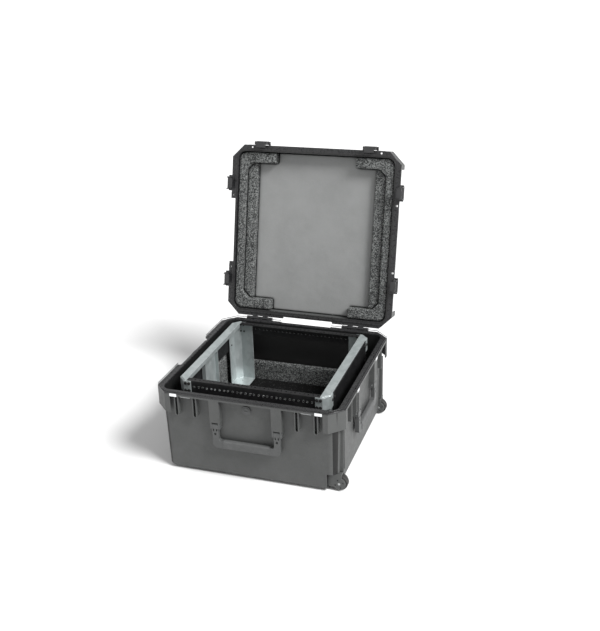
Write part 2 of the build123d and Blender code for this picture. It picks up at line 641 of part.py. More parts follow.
def latch_lever():
    """Lever and hook in the local frame, closed over the base's keeper."""
    half = LATCH_WIDTH / 2
    end = LATCH_PIVOT_Z - LATCH_REACH
    outer = LATCH_PIVOT_OUT + LATCH_FACE_OUT
    inner = outer - LATCH_PLATE
    left, right = (-half, LATCH_PIVOT_OUT, LATCH_PIVOT_Z), (half, LATCH_PIVOT_OUT, LATCH_PIVOT_Z)
    lever = rod(LATCH_BARREL_RADIUS, left, right)
    lever += block(-half, half, inner, outer, end, LATCH_PIVOT_Z)
    for way in (-1, 1):
        lever += block(way * half, way * (half - LATCH_RIB), inner, outer + LATCH_RIB, end, LATCH_PIVOT_Z)
    hook = half - LATCH_HOOK_INSET
    lever += block(-hook, hook, -LATCH_HOOK_IN, inner + LAP, end, end + LATCH_HOOK_HEIGHT)
    room = TRIGGER_WIDTH / 2 + FIT_GAP
    low, high = TRIGGER_TOP - TRIGGER_LENGTH - 2 * FIT_GAP, TRIGGER_TOP + FIT_GAP
    lever -= block(-room, room, inner + LATCH_POCKET_FLOOR, outer + LATCH_RIB + LAP, low, high)
    return lever - rod(LATCH_PIN_RADIUS + PIN_CLEARANCE, left, right)


def latch_trigger():
    """Release trigger in the lever's outer face."""
    half = TRIGGER_WIDTH / 2
    face = LATCH_PIVOT_OUT + LATCH_FACE_OUT + TRIGGER_PROUD
    plate = block(-half, half, face - TRIGGER_THICK, face, TRIGGER_TOP - TRIGGER_LENGTH, TRIGGER_TOP)
    ridge = half - TRIGGER_RIDGE_INSET
    root = face - TRIGGER_PROUD
    return plate + [
        block(-ridge, ridge, root, root + TRIGGER_RIDGE, TRIGGER_TOP - down, TRIGGER_TOP - down - TRIGGER_RIDGE)
        for down in TRIGGER_RIDGES
    ]


def strike(side, along):
    """Steel strip under the base flange that a latch hooks behind."""
    half = STRIKE_WIDTH / 2
    deep = -FLANGE_OVERHANG - wall_inset(FLANGE_BOTTOM)
    strip = block(-half, half, deep, -STRIKE_BEHIND_FACE, FLANGE_BOTTOM - STRIKE_THICK, FLANGE_BOTTOM)
    return side_place(side, along) * strip


def hasp(side, along, lid):
    """Stainless padlock plate: a leg on the flange's face and one under or over it."""
    half = HASP_WIDTH / 2
    rim = LID_RIM + RIM_STEP if lid else RIM_HEIGHT - RIM_STEP
    far = LID_RIM + FLANGE_THICK if lid else FLANGE_BOTTOM
    away = HASP_THICK if lid else -HASP_THICK
    plate = block(-half, half, 0, HASP_THICK, rim, far + away)
    plate += block(-half, half, -HASP_DEPTH, HASP_THICK, far, far + away)
    return side_place(side, along) * plate - hasp_bore(side, along)


# ---- Carry handles ------------------------------------------------------------------------
def bracket_screws(side, radius):
    """Screw shanks through the wall behind each bracket."""
    shanks = []
    for way in (-1, 1):
        x = way * HANDLE_SPAN / 2
        for z in (HANDLE_PIVOT_Z - BRACKET_SCREW_SPREAD, HANDLE_PIVOT_Z + BRACKET_SCREW_SPREAD):
            start = (x, -FLANGE_OVERHANG + BRACKET_SCREW_OUT, z)
            end = (x, -FLANGE_OVERHANG - WALL - wall_inset(z) - BRACKET_SCREW_TIP, z)
            shanks.append(side_place(side, 0) * rod(radius, start, end))
    return shanks


def handle_brackets(side):
    """Clevis brackets on the wall, under the posts."""
    low, high = HANDLE_POST_BOTTOM - BRACKET_HEIGHT, HANDLE_POST_BOTTOM
    half = HANDLE_ARM_WIDTH / 2 + FIT_GAP
    root = -FLANGE_OVERHANG - BRACKET_ROOT
    behind_arm = -HANDLE_PIVOT_IN - HANDLE_THICK / 2 - FIT_GAP
    pieces = []
    for way in (-1, 1):
        middle = way * HANDLE_SPAN / 2
        reach = half + BRACKET_CHEEK
        back = block(middle - reach, middle + reach, root, behind_arm, low, high)
        cheeks = [
            block(middle + hand * half, middle + hand * reach, root, -BRACKET_BEHIND_FACE, low, high)
            for hand in (-1, 1)
        ]
        bore = rod(HANDLE_PIN_RADIUS, (middle - reach, -HANDLE_PIVOT_IN, HANDLE_PIVOT_Z),
                   (middle + reach, -HANDLE_PIVOT_IN, HANDLE_PIVOT_Z))
        pieces.append(side_place(side, 0) * (back + cheeks - bore))
    outside = drafted_box(WALL_HALF_W, WALL_HALF_D, BODY_CORNER_RADIUS, RIM_HEIGHT, FLOOR_CLEAR)
    return [piece - outside - bracket_screws(side, BOLT_RADIUS) for piece in pieces]


def carry_handle():
    """U-shaped handle in the local frame, hanging against the wall."""
    half = HANDLE_SPAN / 2 + HANDLE_ARM_WIDTH / 2
    low = HANDLE_PIVOT_Z - HANDLE_DROP - HANDLE_BAR / 2
    face = -HANDLE_PIVOT_IN + HANDLE_THICK / 2
    arm_inner = half - HANDLE_ARM_WIDTH
    outline = Pos(0, (low + HANDLE_PIVOT_Z) / 2) * Rectangle(2 * half, HANDLE_PIVOT_Z - low)
    outline = fillet(outline.vertices().group_by(Axis.Y)[0], HANDLE_CORNER)
    window_low, window_high = low + HANDLE_BAR, HANDLE_PIVOT_Z + LAP
    window = Pos(0, (window_low + window_high) / 2) * Rectangle(2 * arm_inner, window_high - window_low)
    window = fillet(window.vertices().group_by(Axis.Y)[0], HANDLE_CORNER / 2)
    frame = Pos(0, face, 0) * extrude(Plane.XZ * (outline - window), HANDLE_THICK)
    for way in (-1, 1):
        near, far = way * arm_inner, way * half
        ends = (near, -HANDLE_PIVOT_IN, HANDLE_PIVOT_Z), (far, -HANDLE_PIVOT_IN, HANDLE_PIVOT_Z)
        frame = frame + rod(HANDLE_THICK / 2, *ends) - rod(HANDLE_PIN_RADIUS + PIN_CLEARANCE, *ends)
        for offset, below, width, height in ARM_SLOTS:
            x, z = way * HANDLE_SPAN / 2 + offset, HANDLE_PIVOT_Z - below
            frame -= block(x - width / 2, x + width / 2, face - ARM_SLOT_DEPTH, face + LAP,
                           z - height / 2, z + height / 2)
    return frame


def handle_grip():
    """Soft sleeve over the middle of the handle's bar."""
    half = HANDLE_SPAN / 2 - HANDLE_ARM_WIDTH / 2 - HANDLE_CORNER
    middle = HANDLE_PIVOT_Z - HANDLE_DROP
    outer_y = HANDLE_THICK / 2 + HANDLE_GRIP_SKIN
    outer_z = HANDLE_BAR / 2 + HANDLE_GRIP_SKIN
    sleeve = block(-half, half, -outer_y, outer_y, middle - outer_z, middle + outer_z)
    sleeve = fillet(sleeve.edges().filter_by(Axis.X), GRIP_ROUNDING)
    core = block(-half - LAP, half + LAP, -HANDLE_THICK / 2, HANDLE_THICK / 2,
                 middle - HANDLE_BAR / 2, middle + HANDLE_BAR / 2)
    return Pos(0, -HANDLE_PIVOT_IN, 0) * (sleeve - core)


def handle_pins(side):
    half = HANDLE_ARM_WIDTH / 2 + FIT_GAP + BRACKET_CHEEK
    return [
        side_place(side, 0) * rod(HANDLE_PIN_RADIUS, (middle - half, -HANDLE_PIVOT_IN, HANDLE_PIVOT_Z),
                                  (middle + half, -HANDLE_PIVOT_IN, HANDLE_PIVOT_Z))
        for middle in (-HANDLE_SPAN / 2, HANDLE_SPAN / 2)
    ]


# ---- Pull handle --------------------------------------------------------------------------
def tow_place(way):
    """Middle of one tube, on the floor."""
    return -HALF_W + FLANGE_OVERHANG / 2, way * TOW_SPAN / 2


def tow_tube(way, outer, inner, low, high):
    x, y = tow_place(way)
    return rod(outer, (x, y, low), (x, y, high)) - rod(inner, (x, y, low - LAP), (x, y, high + LAP))


def tow_bore(way, radius, low):
    x, y = tow_place(way)
    return rod(radius, (x, y, low), (x, y, TOW_SLEEVE_TOP + LAP))


def tow_grip():
    x = tow_place(1)[0]
    half = TOW_SPAN / 2 + TOW_INNER_RADIUS + TOW_GRIP_PAST_TUBE
    half_x = FLANGE_OVERHANG / 2 - TOW_GRIP_SIDE_GAP
    bar = block(x - half_x, x + half_x, -half, half, TOW_GRIP_TOP - TOW_GRIP_HEIGHT, TOW_GRIP_TOP)
    bar = fillet(bar.edges().filter_by(Axis.Y), TOW_GRIP_ROUNDING)
    for way in (-1, 1):
        place = tow_place(way)
        bar -= rod(TOW_INNER_RADIUS, (*place, 0), (*place, TOW_GRIP_TOP - TOW_SOCKET_BELOW_TOP))
    room_x, room_y = BUTTON_WIDTH / 2 + BUTTON_CLEARANCE, BUTTON_LENGTH / 2 + BUTTON_CLEARANCE
    return bar - block(x - room_x, x + room_x, -room_y, room_y, TOW_GRIP_TOP - BUTTON_ROOM, TOW_GRIP_TOP + LAP)


def tow_button():
    x = tow_place(1)[0]
    button = block(x - BUTTON_WIDTH / 2, x + BUTTON_WIDTH / 2, -BUTTON_LENGTH / 2, BUTTON_LENGTH / 2,
                   TOW_GRIP_TOP - BUTTON_DEPTH, TOW_GRIP_TOP + BUTTON_PROUD)
    return fillet(button.edges().filter_by(Axis.Z), BUTTON_ROUNDING)


# ---- Wheels -------------------------------------------------------------------------------
def wheel_rod(radius, y0, y1):
    """Cylinder about the wheels' axis."""
    return rod(radius, (WHEEL_X, y0, WHEEL_Z), (WHEEL_X, y1, WHEEL_Z))


def wheel_tyre(way):
    y, half = way * WHEEL_Y, WHEEL_WIDTH / 2
    tyre = wheel_rod(WHEEL_RADIUS, y - half, y + half)
    return fillet(tyre.edges(), TYRE_ROUNDING) - wheel_rod(HUB_RADIUS, y - half - LAP, y + half + LAP)


def wheel_hub(way):
    y, half = way * WHEEL_Y, WHEEL_WIDTH / 2
    hub = wheel_rod(HUB_RADIUS, y - half, y + half)
    for hand in (-1, 1):
        hub -= wheel_rod(HUB_RADIUS - HUB_RIM, y + hand * (half - HUB_DISH), y + hand * (half + LAP))
        hub += wheel_rod(AXLE_RADIUS + HUB_BOSS, y + hand * (half - HUB_DISH - LAP), y + hand * half)
    return hub - wheel_rod(AXLE_RADIUS + PIN_CLEARANCE, y - half - LAP, y + half + LAP)


def axle(way):
    return wheel_rod(AXLE_RADIUS, way * WHEEL_Y - HOUSING_HALF, way * WHEEL_Y + HOUSING_HALF)


def wheel_housing(way):
    """Fork that holds one wheel in the base's corner."""
    inner, outer = WHEEL_WIDTH / 2 + HOUSING_SIDE_GAP, HOUSING_HALF
    back, front = HOUSING_INNER_X + HOUSING_FIT, WHEEL_X + HOUSING_PAST_AXLE
    low = WHEEL_Z - HOUSING_SKIRT
    body = block(back, front, -outer, outer, HOUSING_HEIGHT - HOUSING_ROOF, HOUSING_HEIGHT)
    body += block(back, back + HOUSING_BACK, -outer, outer, low, HOUSING_HEIGHT)
    for hand in (-1, 1):
        near, far = hand * inner, hand * outer
        body += block(back, front, near, far, low, HOUSING_HEIGHT)
        body += wheel_rod(HOUSING_DISC_RADIUS, near, far)
        for turn in (0, 90, 180, 270):
            angle = radians(turn + HOUSING_SCREW_TURN)
            x = WHEEL_X + HOUSING_SCREW_CIRCLE * cos(angle)
            z = WHEEL_Z + HOUSING_SCREW_CIRCLE * sin(angle)
            start, end = hand * (outer - HOUSING_SCREW_DEPTH), hand * (outer + LAP)
            body -= rod(HOUSING_SCREW_RADIUS, (x, start, z), (x, end, z))
    return Pos(0, way * WHEEL_Y, 0) * (body - wheel_rod(AXLE_RADIUS, -outer - LAP, outer + LAP))


# ---- Rack frame ---------------------------------------------------------------------------
def rack_hole_offsets():
    """Hole positions along the rails, from the middle, for every unit."""
    start = -RACK_LENGTH / 2
    return [start + unit * RACK_UNIT + step for unit in range(RACK_UNITS) for step in RACK_HOLE_STEPS]


def rack_rail(way):
    """Perforated angle along X: panel holes on top, fixing holes in the web."""
    outer = RACK_DEPTH / 2
    opening = RACK_OPENING / 2
    top = RACK_TOP - RAIL_BELOW_TOP
    reach = RACK_WIDTH / 2 - SIDE_RAIL_WIDTH - FIT_GAP
    rail = block(-reach, reach, outer, opening, top - RACK_SHEET, top)
    web = reach + RAIL_TONGUE
    rail += block(-web, web, outer - RACK_SHEET, outer, top - RACK_WEB, top - RACK_SHEET)
    web_z = top - RACK_WEB / 2
    for x in rack_hole_offsets():
        y = RACK_HOLE_SPAN / 2
        rail -= rod(RACK_HOLE_RADIUS, (x, y, top - RACK_SHEET - LAP), (x, y, top + LAP))
        rail -= rod(RACK_WEB_HOLE_RADIUS, (x, outer - RACK_SHEET - LAP, web_z), (x, outer + LAP, web_z))
    rail -= face_shanks()
    return rail if way > 0 else mirror(rail, Plane.XZ)


def side_rail(way):
    """Zinc-plated top rail along Y with a lip inside and a leg outside."""
    outer, inner = RACK_WIDTH / 2, RACK_WIDTH / 2 - SIDE_RAIL_WIDTH
    end, lip_end = RACK_DEPTH / 2, RACK_OPENING / 2 - FIT_GAP
    under = RACK_TOP - RACK_SHEET
    corners = [(inner, end), (outer - POST_FACET, end), (outer, end - POST_FACET),
               (outer, -end + POST_FACET), (outer - POST_FACET, -end), (inner, -end)]
    rail = prism(make_face(Polyline(*corners, close=True)), under, RACK_TOP)
    rail += block(inner, inner + RACK_SHEET, -lip_end, lip_end, under - SIDE_RAIL_LIP, under)
    leg_end = end - POST_FACET
    rail += block(outer - RACK_SHEET, outer, -leg_end, leg_end, under - SIDE_RAIL_LEG, under)
    rail -= side_shanks()
    return rail if way > 0 else mirror(rail, Plane.YZ)


def folded_sheet(outer_x, outer_y, along_x, facet, along_y, low, high):
    """Sheet folded round the +X +Y corner: a face along X, a 45 degree facet, a face along Y."""
    skew = RACK_SHEET * tan(radians(45 / 2))
    x, y, t = outer_x, outer_y, RACK_SHEET
    corners = [
        (x - facet - along_x, y), (x - facet, y), (x, y - facet), (x, y - facet - along_y),
        (x - t, y - facet - along_y), (x - t, y - facet - skew), (x - facet - skew, y - t),
        (x - facet - along_x, y - t),
    ]
    return prism(make_face(Polyline(*corners, close=True)), low, high)


def rack_post():
    """Folded corner post with a spread foot, at +X +Y."""
    x, y = RACK_WIDTH / 2 - RACK_SHEET, RACK_DEPTH / 2 - RACK_SHEET
    facet = POST_FACET
    post = folded_sheet(x, y, POST_FLANGE, facet, POST_FLANGE, POST_BOTTOM, RACK_TOP - POST_TOP_GAP)
    corners = [(x - facet - POST_FLANGE, y), (x - facet, y), (x, y - facet), (x, y - facet - POST_FLANGE),
               (x - facet - POST_FLANGE, y - facet - POST_FLANGE)]
    foot = prism(make_face(Polyline(*corners, close=True)), POST_BOTTOM - RACK_SHEET, POST_BOTTOM)
    hole = rod(BOLT_HOLE, (*mount_centre(), 0), (*mount_centre(), POST_BOTTOM + LAP))
    return post + foot - hole - face_shanks() - side_shanks()


def corner_plate():
    """Zinc-plated plate round the +X +Y corner, bolted through rail and post."""
    x, y = RACK_WIDTH / 2 + RACK_SHEET, RACK_DEPTH / 2 + RACK_SHEET
    high = RACK_TOP - RACK_SHEET
    plate = folded_sheet(x, y, CORNER_PLATE_FRONT, POST_FACET, CORNER_PLATE_SIDE, high - CORNER_PLATE_HEIGHT, high)
    return plate - face_shanks() - side_shanks()


def face_bolt_places():
    """Centres, as x and z, of the four bolts in each corner plate's long face at +X."""
    fold = RACK_WIDTH / 2 - POST_FACET
    return [(fold - across, RACK_TOP - down) for across in FACE_BOLTS_ACROSS for down in FACE_BOLTS_DOWN]


def side_bolt_places():
    """Centres, as y and z, of the bolts in a side face: one in the corner plate, two in the side plate."""
    fold = RACK_DEPTH / 2 - POST_FACET
    high, low = (RACK_TOP - down for down in SIDE_BOLTS_DOWN)
    in_plate = fold - CORNER_PLATE_SIDE / 2
    past_plate = fold - CORNER_PLATE_SIDE - SIDE_BOLT_PAST_PLATE
    return [(in_plate, high), (past_plate, high), (past_plate, low)]


def face_shanks():
    """Holes for the bolts through the faces along X."""
    y0, y1 = RACK_DEPTH / 2 - 2 * RACK_SHEET - BOLT_TIP - LAP, RACK_DEPTH / 2 + RACK_SHEET
    return [rod(BOLT_HOLE, (way * x, y0, z), (way * x, y1, z)) for x, z in face_bolt_places() for way in (-1, 1)]


def side_shanks():
    """Holes for the bolts through the faces along Y."""
    x0, x1 = RACK_WIDTH / 2 - 2 * RACK_SHEET - BOLT_TIP - LAP, RACK_WIDTH / 2 + RACK_SHEET
    return [rod(BOLT_HOLE, (x0, way * y, z), (x1, way * y, z)) for y, z in side_bolt_places() for way in (-1, 1)]


def rack_bolts():
    """Pan-head bolts round the frame, all alike."""
    bolts = []
    y = RACK_DEPTH / 2 + RACK_SHEET
    length = 3 * RACK_SHEET + BOLT_TIP
    for x, z in face_bolt_places():
        head = rod(BOLT_HEAD_RADIUS, (x, y, z), (x, y + BOLT_HEAD, z))
        bolts.append(head + rod(BOLT_RADIUS, (x, y - length, z), (x, y, z)))
    x = RACK_WIDTH / 2 + RACK_SHEET
    for y, z in side_bolt_places():
        head = rod(BOLT_HEAD_RADIUS, (x, y, z), (x + BOLT_HEAD, y, z))
        bolts.append(head + rod(BOLT_RADIUS, (x - length, y, z), (x, y, z)))
    return [copy for bolt in bolts for copy in four_corners(bolt)]


def side_plate(way):
    """Black plate outside the side rail's leg."""
    x = RACK_WIDTH / 2
    half = RACK_DEPTH / 2 - POST_FACET - CORNER_PLATE_SIDE - FIT_GAP
    high = RACK_TOP - RACK_SHEET - SIDE_PLATE_BELOW_RAIL
    plate = block(x, x + RACK_SHEET, -half, half, high - SIDE_PLATE_HEIGHT, high)
    plate -= side_shanks()
    return plate if way > 0 else mirror(plate, Plane.YZ)


def side_stay(way):
    """Zinc-plated stay between the posts, inside the side rail."""
    x = RACK_WIDTH / 2 - RACK_SHEET
    high = RACK_TOP - RACK_SHEET - FIT_GAP
    y0, y1 = STAY_OFF_CENTRE - STAY_WIDTH / 2, STAY_OFF_CENTRE + STAY_WIDTH / 2
    stay = block(x - RACK_SHEET, x, y0, y1, high - STAY_DEPTH, high)
    for y in (y0, y1 - RACK_SHEET):
        edge_top = high - SIDE_RAIL_LIP - STAY_RETURN_DROP
        stay += block(x - STAY_RETURN, x, y, y + RACK_SHEET, high - STAY_DEPTH, edge_top)
    return stay if way > 0 else mirror(stay, Plane.YZ)


def mount_centre():
    return (RACK_WIDTH / 2 - RACK_SHEET - MOUNT_INSET, RACK_DEPTH / 2 - RACK_SHEET - MOUNT_INSET)


def shock_mount():
    """Rubber mount with a waist, under one post's foot."""
    x, y = mount_centre()
    low, high = FLOOR_Z + MOUNT_PLATE, POST_BOTTOM - RACK_SHEET
    waist = MOUNT_RADIUS - MOUNT_WAIST
    outline = Polyline(
        (0, low), (MOUNT_RADIUS, low), (MOUNT_RADIUS, low + MOUNT_COLLAR), (waist, low + 2 * MOUNT_COLLAR),
        (waist, high - 2 * MOUNT_COLLAR), (MOUNT_RADIUS, high - MOUNT_COLLAR), (MOUNT_RADIUS, high), (0, high),
        close=True,
    )
    return Pos(x, y, 0) * revolve(Plane.XZ * make_face(outline), Axis.Z)


def mount_plate():
    x, y = mount_centre()
    half = MOUNT_RADIUS + MOUNT_PLATE_MARGIN
    return block(x - half, x + half, y - half, y + half, FLOOR_Z, FLOOR_Z + MOUNT_PLATE)


# ---- Foam ---------------------------------------------------------------------------------
def inside_limit(half, z):
    """Clear distance from the middle to a foam block's outer face at a height."""
    return half - wall_inset(z) - FOAM_GAP


def floor_foam():
    x = mount_centre()[0] - MOUNT_RADIUS - MOUNT_PLATE_MARGIN - FOAM_GAP
    y = inside_limit(INSIDE_HALF_D, FLOOR_Z) - WALL_FOAM_THICK - FOAM_GAP
    return block(-x, x, -y, y, FLOOR_Z + FIT_GAP, FLOOR_FOAM_TOP)


def end_foam(way):
    """Block along the front or rear wall."""
    outer = inside_limit(INSIDE_HALF_D, FLOOR_Z)
    inner = outer - WALL_FOAM_THICK
    x = HOUSING_INNER_X - WALL - FOAM_GAP
    return block(-x, x, way * inner, way * outer, FLOOR_Z + WALL_FOAM_LIFT, END_FOAM_TOP)


def side_foam(way):
    outer = inside_limit(INSIDE_HALF_W, FLOOR_Z)
    inner = outer - SIDE_FOAM_THICK
    y = WHEEL_Y - HOUSING_HALF - WALL - FOAM_GAP
    return block(way * inner, way * outer, -y, y, FLOOR_Z + WALL_FOAM_LIFT, SIDE_FOAM_TOP)


def lid_foam_reach(half):
    """Clear distance from the middle to the lid foam's outer face."""
    return half - (LID_FOAM_ROOF - LID_RIM) * tan(radians(DRAFT)) - FOAM_GAP


def lid_foam_outer(way):
    x, y = lid_foam_reach(INSIDE_HALF_W), lid_foam_reach(INSIDE_HALF_D)
    strip = block(LID_FOAM_INNER_X, x, -y, y, LID_RIM + LID_FOAM_FACE, LID_FOAM_ROOF)
    strip = fillet(strip.edges().filter_by(Axis.Z).group_by(Axis.X)[-1], BODY_CORNER_RADIUS - WALL)
    return strip if way > 0 else mirror(strip, Plane.YZ)


def lid_block_face():
    """Inner face of the corner blocks, clear of the rack frame's bolts."""
    return lid_foam_reach(INSIDE_HALF_D) - LID_BLOCK_DEPTH


def lid_foam_step(way):
    y = lid_block_face() - FOAM_GAP
    step = block(LID_STEP_INNER_X, LID_FOAM_INNER_X - FOAM_GAP, -y, y, LID_RIM + LID_STEP_FACE, LID_FOAM_ROOF)
    return step if way > 0 else mirror(step, Plane.YZ)


def lid_corner_blocks():
    x, y = LID_FOAM_INNER_X - FOAM_GAP, lid_block_face()
    low, high = LID_RIM + LID_FOAM_FACE, LID_FOAM_ROOF
    return four_corners(block(x - LID_BLOCK_LENGTH, x, y, y + LID_BLOCK_DEPTH, low, high))


def lid_panel():
    """Sheet against the roof, reaching between the corner blocks."""
    x, y = LID_STEP_INNER_X - FOAM_GAP, lid_block_face() - FOAM_GAP
    low, high = LID_FOAM_ROOF - LID_PANEL_THICK, LID_FOAM_ROOF
    between = LID_FOAM_INNER_X - LID_BLOCK_LENGTH - 2 * FOAM_GAP
    return block(-x, x, -y, y, low, high) + block(
        -between, between, -y - LID_BLOCK_DEPTH, y + LID_BLOCK_DEPTH, low, high)


# ---- Small fittings -----------------------------------------------------------------------
def valve_rod(radius, out, back):
    """Cylinder about the valve's axis, from out to back, both before the wall's face."""
    return rod(radius, (0, VALVE_FACE - out, VALVE_Z), (0, VALVE_FACE - back, VALVE_Z))


def valve_body():
    """Pressure valve: flange and stem in the front wall."""
    body = valve_rod(VALVE_RADIUS, VALVE_FLANGE, -2 * LAP)
    body -= drafted_box(WALL_HALF_W, WALL_HALF_D, BODY_CORNER_RADIUS, RIM_HEIGHT, FLOOR_CLEAR)
    body += valve_rod(VALVE_STEM_RADIUS, LAP, -VALVE_STEM_LENGTH)
    return body - valve_rod(VALVE_RADIUS - VALVE_RIM, VALVE_CAP_OUT, VALVE_CAP_BACK)


def valve_cap():
    cap = valve_rod(VALVE_RADIUS - VALVE_RIM - VALVE_CAP_GAP, VALVE_CAP_OUT, VALVE_CAP_BACK)
    half, edge = VALVE_SLOT_LENGTH / 2, VALVE_SLOT_WIDTH / 2
    face = VALVE_FACE - VALVE_CAP_OUT
    return cap - block(-half, half, face - LAP, face + VALVE_SLOT_DEPTH, VALVE_Z - edge, VALVE_Z + edge)


def hinge_pins():
    half = HINGE_KNUCKLES * HINGE_KNUCKLE_LENGTH / 2
    return [
        rod(HINGE_PIN_RADIUS, (centre - half, HINGE_Y, HINGE_Z), (centre + half, HINGE_Y, HINGE_Z))
        for centre in (-HINGE_X, HINGE_X)
    ]


def foot_pads():
    return feet(FOOT_LENGTH - 2 * PAD_MARGIN, FOOT_WIDTH - 2 * PAD_MARGIN, 0, PAD_THICK)


# ---- Assembly -----------------------------------------------------------------------------
def build_all():
    """Every node of the case, by name, with the lid open and its latches hanging."""
    nodes = {
        "base_shell": base_shell(),
        "foot_pads": group(foot_pads()),
        "latch_strikes": group([strike(*place) for place in LATCHES.values()]),
        "base_padlock_plates": group([hasp(*place, lid=False) for place in HASPS]),
        "hinge_pins": group(hinge_pins()),
        "pressure_valve_body": valve_body(),
        "pressure_valve_cap": valve_cap(),
        "handle_brackets": group(handle_brackets("front") + handle_brackets("right")),
        "handle_bracket_screws": group([
            shank for side in ("front", "right") for shank in bracket_screws(side, BOLT_RADIUS)
        ]),
        "handle_pins": group(handle_pins("front") + handle_pins("right")),
        "pull_handle_sleeves": group([
            tow_tube(way, TOW_SLEEVE_RADIUS, TOW_MIDDLE_RADIUS + TOW_TUBE_CLEARANCE,
                     TOW_COLUMN_BOTTOM + WALL, TOW_SLEEVE_TOP)
            for way in (-1, 1)
        ]),
        "pull_handle_middle_tubes": group([
            tow_tube(way, TOW_MIDDLE_RADIUS, TOW_INNER_RADIUS + TOW_TUBE_CLEARANCE,
                     TOW_COLUMN_BOTTOM + WALL + TOW_TUBE_STEP, TOW_SLEEVE_TOP + TOW_MIDDLE_ABOVE_SLEEVE)
            for way in (-1, 1)
        ]),
        "pull_handle_inner_tubes": group([
            tow_tube(way, TOW_INNER_RADIUS, TOW_INNER_RADIUS - TOW_TUBE_WALL,
                     TOW_COLUMN_BOTTOM + WALL + 2 * TOW_TUBE_STEP, TOW_GRIP_TOP - TOW_SOCKET_BELOW_TOP)
            for way in (-1, 1)
        ]),
        "pull_handle_grip": tow_grip(),
        "pull_handle_button": tow_button(),
        "wheel_housings": group([wheel_housing(way) for way in (-1, 1)]),
        "wheel_axles": group([axle(way) for way in (-1, 1)]),
        "rack_rail_front": rack_rail(-1),
        "rack_rail_rear": rack_rail(1),
        "rack_side_rails": group([side_rail(way) for way in (-1, 1)]),
        "rack_side_plates": group([side_plate(way) for way in (-1, 1)]),
        "rack_side_stays": group([side_stay(way) for way in (-1, 1)]),
        "rack_posts": group(four_corners(rack_post())),
        "rack_corner_plates": group(four_corners(corner_plate())),
        "rack_bolts": group(rack_bolts()),
        "shock_mounts": group(four_corners(shock_mount())),
        "shock_mount_plates": group(four_corners(mount_plate())),
        "base_foam_floor": floor_foam(),
        "base_foam_front": end_foam(-1),
        "base_foam_rear": end_foam(1),
        "base_foam_sides": group([side_foam(way) for way in (-1, 1)]),
        "lid_shell": open_lid(lid_closed()),
        "lid_seal": open_lid(seal_ring()),
        "lid_padlock_plates": group([open_lid(hasp(*place, lid=True)) for place in HASPS]),
        "lid_foam_left": open_lid(lid_foam_outer(-1)),
        "lid_foam_right": open_lid(lid_foam_outer(1)),
        "lid_foam_steps": group([open_lid(lid_foam_step(way)) for way in (-1, 1)]),
        "lid_foam_corners": group([open_lid(each) for each in lid_corner_blocks()]),
        "lid_foam_panel": open_lid(lid_panel()),
        "latch_pins": group([open_lid(latch_pin(*place)) for place in LATCHES.values()]),
        "front_handle": side_place("front", 0) * carry_handle(),
        "front_handle_grip": side_place("front", 0) * handle_grip(),
        "side_handle": side_place("right", 0) * carry_handle(),
        "side_handle_grip": side_place("right", 0) * handle_grip(),
    }
    for name, way in (("front", -1), ("rear", 1)):
        nodes[f"wheel_tyre_{name}"] = wheel_tyre(way)
        nodes[f"wheel_hub_{name}"] = wheel_hub(way)
    for name, place in LATCHES.items():
        for kind, piece in (("latch", latch_lever()), ("trigger", latch_trigger())):
            nodes[f"{kind}_{name}"] = open_lid(side_place(*place) * piece)
    return nodes


os.makedirs("parts", exist_ok=True)
for node_name, shape in build_all().items():
    export_step(shape, f"parts/{node_name}.step")
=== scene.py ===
"""Looks of the equipment rack case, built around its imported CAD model. Metres."""

import json
from math import cos, pi, radians, sin

import bmesh
import bpy
from mathutils import Matrix, Vector, noise


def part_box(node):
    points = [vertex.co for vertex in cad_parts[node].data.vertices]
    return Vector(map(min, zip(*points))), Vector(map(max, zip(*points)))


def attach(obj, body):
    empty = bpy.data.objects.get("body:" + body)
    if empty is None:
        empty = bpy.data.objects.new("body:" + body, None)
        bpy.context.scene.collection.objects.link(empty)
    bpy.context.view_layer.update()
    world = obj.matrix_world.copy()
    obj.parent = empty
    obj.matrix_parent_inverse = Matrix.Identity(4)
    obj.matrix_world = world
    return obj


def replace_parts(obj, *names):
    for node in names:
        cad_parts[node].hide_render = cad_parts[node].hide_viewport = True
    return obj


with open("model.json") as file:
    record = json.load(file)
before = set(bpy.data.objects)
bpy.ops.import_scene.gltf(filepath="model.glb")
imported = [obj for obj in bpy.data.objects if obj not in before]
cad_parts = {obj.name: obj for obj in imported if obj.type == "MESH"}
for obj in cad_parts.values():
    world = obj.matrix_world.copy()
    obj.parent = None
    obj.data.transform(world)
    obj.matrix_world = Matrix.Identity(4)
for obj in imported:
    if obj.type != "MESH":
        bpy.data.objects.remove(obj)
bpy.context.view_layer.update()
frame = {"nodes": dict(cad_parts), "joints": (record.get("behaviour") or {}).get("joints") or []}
nodes = frame["nodes"]
scene = bpy.context.scene
scene.view_settings.view_transform = "Standard"


# ---- The lid's own frame ------------------------------------------------------------------
hinge = next(j for j in frame["joints"] if j["name"] == "lid_hinge")
HINGE = Vector(hinge["pos_m"])
TURN = Matrix.Rotation(-radians(hinge["range_deg"][1]), 4, "X")
OPEN = Matrix.Translation(HINGE) @ TURN @ Matrix.Translation(-HINGE)


def closed_box(node):
    """A lid node's box as it lies with the lid shut."""
    shut = OPEN.inverted()
    points = [shut @ v.co for v in nodes[node].data.vertices]
    return (Vector([min(p[i] for p in points) for i in range(3)]),
            Vector([max(p[i] for p in points) for i in range(3)]))


